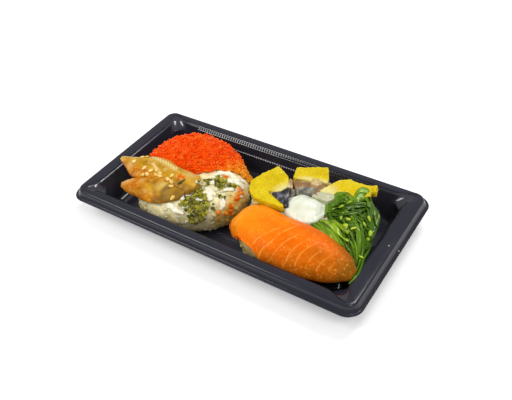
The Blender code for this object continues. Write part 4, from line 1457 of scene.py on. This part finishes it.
# seaweed salad
saladForm = {
    "inset": 1.6 * mm,
    "relief": 0.8 * mm,
    "strands": 190,
    "broad": ((2.2, 3.6), (0.45, 0.7)),  # width and thickness, from and to in millimetres
    "thin": ((0.8, 1.4), (0.6, 0.9)),
    "broadShare": 0.55,
    "lift": (0.3, 1.5),  # how high a strand arches, in millimetres
    "length": (12, 30),  # in steps
    "step": 1.1 * mm,
    "shortest": 7,  # what has fewer steps is left out
    "top": (33.5 * mm, 0.45),  # what stands higher is lowered by this share
    "guides": [  # width, height above the heap, tone and places in millimetres
        (4.2, 4.6, 0.75, [(61, -3), (59.6, 3), (60.6, 9), (62.8, 13.6), (66, 16.6), (69.6, 15.6),
            (72.2, 11.6)]),
        (5, 4, 0.55, [(62, -0.5), (61.6, 5.4), (63.4, 10.8), (66.8, 13.6), (70.4, 11.8)]),
        (3.4, 3, 0.45, [(61, -2), (61.6, 4), (64, 9.5), (67.4, 12.8), (71, 11.6)]),
        (3, 2.6, 0.6, [(62.4, 4), (64.6, 9.4), (68.6, 11.6), (73, 9.6), (76.4, 4.6)]),
        (3.8, 2, 0.15, [(78, 24), (82.2, 22.4), (86.4, 18.4), (90, 13), (92, 7), (92.8, 1), (92.4, -5)]),
        (5, 4.8, 0.85, [(73.4, 12), (73, 17.6), (74.6, 22.4), (77.8, 23.8), (81.2, 21.6), (83.6, 17.4),
            (85.2, 12)]),
        (6, 4.2, 0.7, [(74.8, 11), (75, 16.4), (77.4, 20.2), (80.6, 18.6), (83, 13.6)]),
        (4, 3, 0.4, [(75.4, 11), (76, 16.6), (79.6, 19.4), (83.4, 16.6), (86, 11), (87.6, 5.2)]),
        (3, 2.4, 0.1, [(62, -0.6), (66.2, 3.6), (71.6, 6), (77, 10.6), (82.6, 14.6), (88, 12)]),
        (2.6, 2.2, 0.3, [(64, 7.4), (69.4, 8.2), (75, 12.6), (80.6, 16.2), (86, 15)]),
        (2.2, 1.2, 0.2, [(61, -2.6), (66.4, -2.4), (70.6, -1.2), (75, 1.6), (79.5, 5.3), (82, 11)]),
        (2.4, 0.9, 0.25, [(60.6, 2.2), (66, 1.8), (71, 4.4), (75.6, 9.4), (79.2, 14.2)]),
        (4.4, 1.4, 0.95, [(59, -9.4), (63.4, -7.4), (68.4, -8.8), (73.4, -11), (78.4, -12.6),
            (83.2, -12.6)]),
        (3.4, 0.9, 0.8, [(60.5, -11.6), (66, -11.4), (71.6, -13.2), (77, -15), (81.6, -16.2)]),
        (3.6, 1.3, 0.7, [(79.6, 1.6), (82.6, -2.2), (86, -7.2), (89, -12), (91, -17), (92.2, -23)]),
        (2.8, 1.1, 0.55, [(83.6, 0), (86.6, -3.4), (89.2, -7.6), (91.4, -12.4), (92.6, -18)]),
        (1.8, 1.4, 0.45, [(75, 4), (79.6, 1.4), (84.6, -0.6), (89.2, -0.8), (92.2, 1.4)]),
        (3.2, 1.1, 0.6, [(79.2, -13.2), (83.6, -15.4), (87.8, -18), (91.2, -21.8), (93.2, -27)]),
        (2.4, 1.4, 0.7, [(82.6, -12.6), (86.4, -14.6), (90, -18.4), (92.4, -23.2)]),
        (3.6, 1, 0.4, [(80.6, 14), (84.4, 10.6), (87.6, 6.4), (90, 1.4), (92, -5)]),
        (1.8, 1.4, 0.5, [(69.6, -1.8), (74.6, -4.2), (79.8, -8), (84.4, -11.4), (88.2, -15.8)]),
        (1.6, 1.8, 0.9, [(85.2, -12), (88.6, -14.8), (91.2, -18.6), (92.6, -24)]),
        (1.6, 1.5, 0.3, [(68.4, 14.6), (73.6, 8.4), (78.4, 3.6), (82.6, 0)]),
        (2, 1.2, 0.15, [(64.6, 4), (70.2, 6.8), (76.2, 6.6), (82.4, 4.4), (87.6, 3.2)]),
        (3.4, 1, 0.9, [(66, -5), (71, -6.4), (76.6, -8.2), (81.6, -9.6)]),
        (4.6, 0.6, 0.75, [(56.8, -12.4), (62, -13.4), (68.6, -15.8), (75.4, -18), (82, -20),
            (88.6, -23.6)]),
        (3.4, 1.3, 0.9, [(57.4, -10.6), (62.6, -11), (68.2, -13.4), (74, -15.8), (79.8, -17.8),
            (86, -20.6)]),
        (3, 1, 0.6, [(58.4, -6.6), (62, -9.4), (66.6, -12.2), (71, -15.2)]),
        (3, 0.3, 0.4, [(57.6, -13.8), (60.8, -15.2), (66.4, -17.6), (72.6, -19)]),
    ],
    "tails": [  # long strips along the right wall, in millimetres
        [(90.5, -21, 17), (94, -23.6, 14.5), (97.4, -25.4, 17.5), (99.2, -26.2, 20.6)],
        [(89.6, -26, 15), (93.4, -30.6, 12.5), (97, -35.2, 16.4), (99, -37.6, 20.8)],
        [(90, -14, 16), (91.8, -17, 9), (92.6, -20, 3.6), (93.6, -23, 1.4)],
        [(91, -8, 17), (93, -9.6, 10), (94, -12, 5), (94.2, -14.4, 3)],
        [(92.4, 0.5, 18), (93.8, -8, 19.2), (94.4, -16, 19.4), (96.7, -25.3, 20.2),
            (97.2, -32, 20.8), (95.6, -38.5, 20.2)],
        [(90.6, -6, 20.5), (92.4, -13, 20.2), (93.4, -19, 19.4), (94.9, -26, 19.6),
            (95.8, -33, 20)],
    ],
    "seeds": [
        (70.8, 10.7), (64.5, 4), (68.2, 5), (76.4, -1.9), (72.3, -3.2), (77.2, -6.6), (78, -7.6),
        (80, -9.4), (82.2, -6.7), (86.5, 0), (87.2, 5.2), (91.2, -1), (91.6, -5), (92.6, -16),
    ],
}


def seaweedMaterial():
    inside, coat, shine = (0.3, (0.6, 1.0, 0.1), 0.0015), (0.15, 0.08), (0.4, "d8f0a0")
    material, tree = foodMaterial("wetSeaweed", 0.25, inside, coat, shine)
    codes = ((0.0, "2a4408"), (0.3, "3c600a"), (0.6, "527a0c"), (0.85, "739613"), (1.0, "9cb828"))
    colour = rampOf(attributeOf(tree, "tone"), *codes)
    cloud = noiseOf(tree, 260.0, 3.0)
    colour = mixOf(maskOf(cloud, 0.45, 0.8, 0.5), colour, "36600c")
    # painted shade: the strips are darker where they turn away from view, towards their edges
    facing = addNode(tree, "LayerWeight", {"Blend": 0.35}).outputs["Facing"]
    colour = mixOf(maskOf(facing, 0.2, 0.8, 0.6), colour, "1e3a08")
    return wireUp(material, colour, cloud, 0.0003, 0.5)


seaweed = seaweedMaterial()


def twisted(path, facing, most, start):
    # tip a strand's upper side to and fro along its length
    tipped = []
    for number, up in enumerate(facing):
        way = path[min(number + 1, len(path) - 1)] - path[max(number - 1, 0)]
        angle = most * math.sin(start + 0.3 * number)
        tipped.append(Matrix.Rotation(angle, 3, way.normalized()) @ Vector(up))
    return tipped


def guideStrands():
    # the strands that lie in known places, arching over the heap
    heap = nodeTrees["seaweed_salad"]
    ground = [heap, nodeTrees["rice_right"], lowRoeTree]
    strands = []
    for width, lift, tone, line in saladForm["guides"]:
        flat = smoothLine(line, 1.0)
        path, facing = [], []
        for number, (x, y) in enumerate(flat):
            found = dropOn(ground, x, y)
            if not found:
                continue
            arch = 0.25 + 0.75 * math.sin(math.pi * number / (len(flat) - 1))
            onRice = 0.0 if dropOn([heap], x, y) else 0.9
            path.append(found[0] + Vector((0.0, 0.0, (0.4 * lift * arch + onRice) * mm)))
            facing.append((found[1] + Vector((0.0, 0.0, 0.6))).normalized())
        path = levelled(path, 2)
        strands.append((path, twisted(path, facing, 0.5, width), 0.9 * width * mm, 0.7 * mm, tone))
    return strands


def looseStrand(rng, point, normal, core, knots, ways):
    # one strand that winds over the heap, drawn along by the guides near it
    coreTree, bottom = core
    place, up = point.copy(), normal.copy()
    sign = rng.choice((-1.0, 1.0))
    bend = rng.uniform(-0.1, 0.1)
    lift = rng.uniform(*saladForm["lift"]) * mm
    steps = rng.randint(*saladForm["length"])
    path, facing = [], []
    for step in range(steps):
        gap = np.linalg.norm(knots - np.array(place), axis=1)
        weight = np.exp(-((gap / (4.0 * mm)) ** 2)) + 1e-6
        way = Vector((ways * weight[:, None]).sum(axis=0)) * sign
        way = way.normalized() if way.length >= 1e-9 else Vector((0.2, -1.0, 0.0)).normalized()
        if step == 0:
            heading = Matrix.Rotation(rng.gauss(0.0, 1.1), 3, up) @ way
        else:
            heading = heading * 0.82 + way * 0.18
        heading = (heading - up * heading.dot(up)).normalized()
        heading = Matrix.Rotation(bend, 3, up) @ heading
        path.append(place + up * lift * (0.5 + 0.5 * math.sin(math.pi * step / (steps - 1))))
        facing.append(up)
        near, nextUp, _, _ = coreTree.find_nearest(place + heading * saladForm["step"])
        place, up = near, (up * 0.6 + nextUp * 0.4).normalized()
        if place.z < bottom:
            break
    if len(path) < saladForm["shortest"]:
        return None
    kind = "broad" if rng.random() < saladForm["broadShare"] else "thin"
    width, thick = (rng.uniform(*sizes) * mm for sizes in saladForm[kind])
    facing = twisted(path, facing, 0.9, rng.uniform(0.0, math.tau))
    # a random tone, painted lighter the higher the strand arches, as painted light on the upper strands
    return path, facing, width, thick, min(1.0, 0.1 + rng.random() ** 1.3 * 0.6 + 120.0 * lift)


def buildSalad():
    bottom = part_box("seaweed_salad")[0].z
    core = copyNode("seaweed_salad", "saladCore", 1.1 * mm, 3)
    pushOut(core, saladForm["relief"] * cloudOn(pointsOf(core), 3.0, 2.0) - saladForm["inset"])
    # the core shows only between the strands, and takes the darkest tone as painted shade
    paint(core, tone=0.05)
    strands = guideStrands()
    steps = [(a, b) for path, *_ in strands for a, b in zip(path, path[1:])]
    knots, ways = np.array([a for a, b in steps]), np.array([(b - a).normalized() for a, b in steps])

    def keep(point, normal):
        return point.z > bottom + 3.0 * mm and not covered(point, normal, [salmonTree], 2.5 * mm)

    rng = random.Random(51)
    places = spread(core, 1.7 * mm, 51, keep)
    rng.shuffle(places)
    ground = (treeOf(core), bottom + 0.8 * mm)
    for point, normal in places[: saladForm["strands"]]:
        strand = looseStrand(rng, point, normal, ground, knots, ways)
        if strand:
            strands.append(strand)
    for line in saladForm["tails"]:
        path = [Vector(p) * mm for p in smoothLine(line, 0.8)]
        strands.append((path, [Vector((0.5, 0.3, 0.8))] * len(path), 1.9 * mm, 0.7 * mm, 0.5))
    salad = sweptMesh("saladStrands", strands)
    lowerTops(salad, *saladForm["top"])
    hold(core, "seaweed", seaweed, "seaweed_salad")
    hold(salad, "seaweed", seaweed)
    print("salad strands:", len(strands))
    return treeOf(salad)


def buildSaladSeeds(tree):
    seed = seedShape([v * 1.02 for v in sesameForm["size"]], 0.6)
    rng = random.Random(53)
    spots = []
    for x, y in saladForm["seeds"]:
        found = dropOn([tree], x, y)
        if found:
            up = (found[1] + Vector((0.3, -0.4, 0.6))).normalized()
            turn = lyingTurn(up, rng.uniform(0.0, math.tau), 0.2)
            size = rng.uniform(0.85, 1.1)
            spots.append((found[0] + Vector((0.1, -0.15, 0.35)) * mm, turn, size))
    stops, mask = ((0.0, "98b810"), (0.5, "b0cc1e"), (1.0, "d0dc48")), (0.5, 0.8, 0.5)
    look = bitMaterial("saladSeed", stops, 500.0, mask, "8aa812", Roughness=0.3, Subsurface_Weight=0.25)
    hold(joinCopies("saladSeeds", seed, spots, 53), "seaweed", look)
    print("salad seeds:", len(spots))


buildSaladSeeds(buildSalad())

# a few crumbs on the rim and the wall
crumbForm = {
    "small": 0.5,  # beside a bead of roe
    "large": 1.26,
    "shape": (1.4, 1.0, 0.9),
    "rice": [(108.8, 3.5, 16.3), (103.4, 0.1, 21.1), (50.9, 48.6, 20.0)],
    "roe": [(-68.8, 48.0, 19.4), (18.6, -38.9, 20.6), (19.6, -38.4, 19.4), (17.8, -38.2, 19.2)],
}


def buildCrumbs(kind, slotName, material):
    spots = []
    for number, place in enumerate(crumbForm[kind]):
        size = crumbForm["small" if kind == "rice" or number == 0 else "large"]
        turn = Matrix.Rotation(number * 1.3, 3, "Z")
        spots.append((Vector(place) * mm, turn, [v * size for v in crumbForm["shape"]]))
    hold(joinCopies(kind + "Crumbs", beadShape(), spots, 61), slotName, material)


buildCrumbs("rice", "rice", rice)
buildCrumbs("roe", "orange_roe", fishRoe)
print("crumbs done")
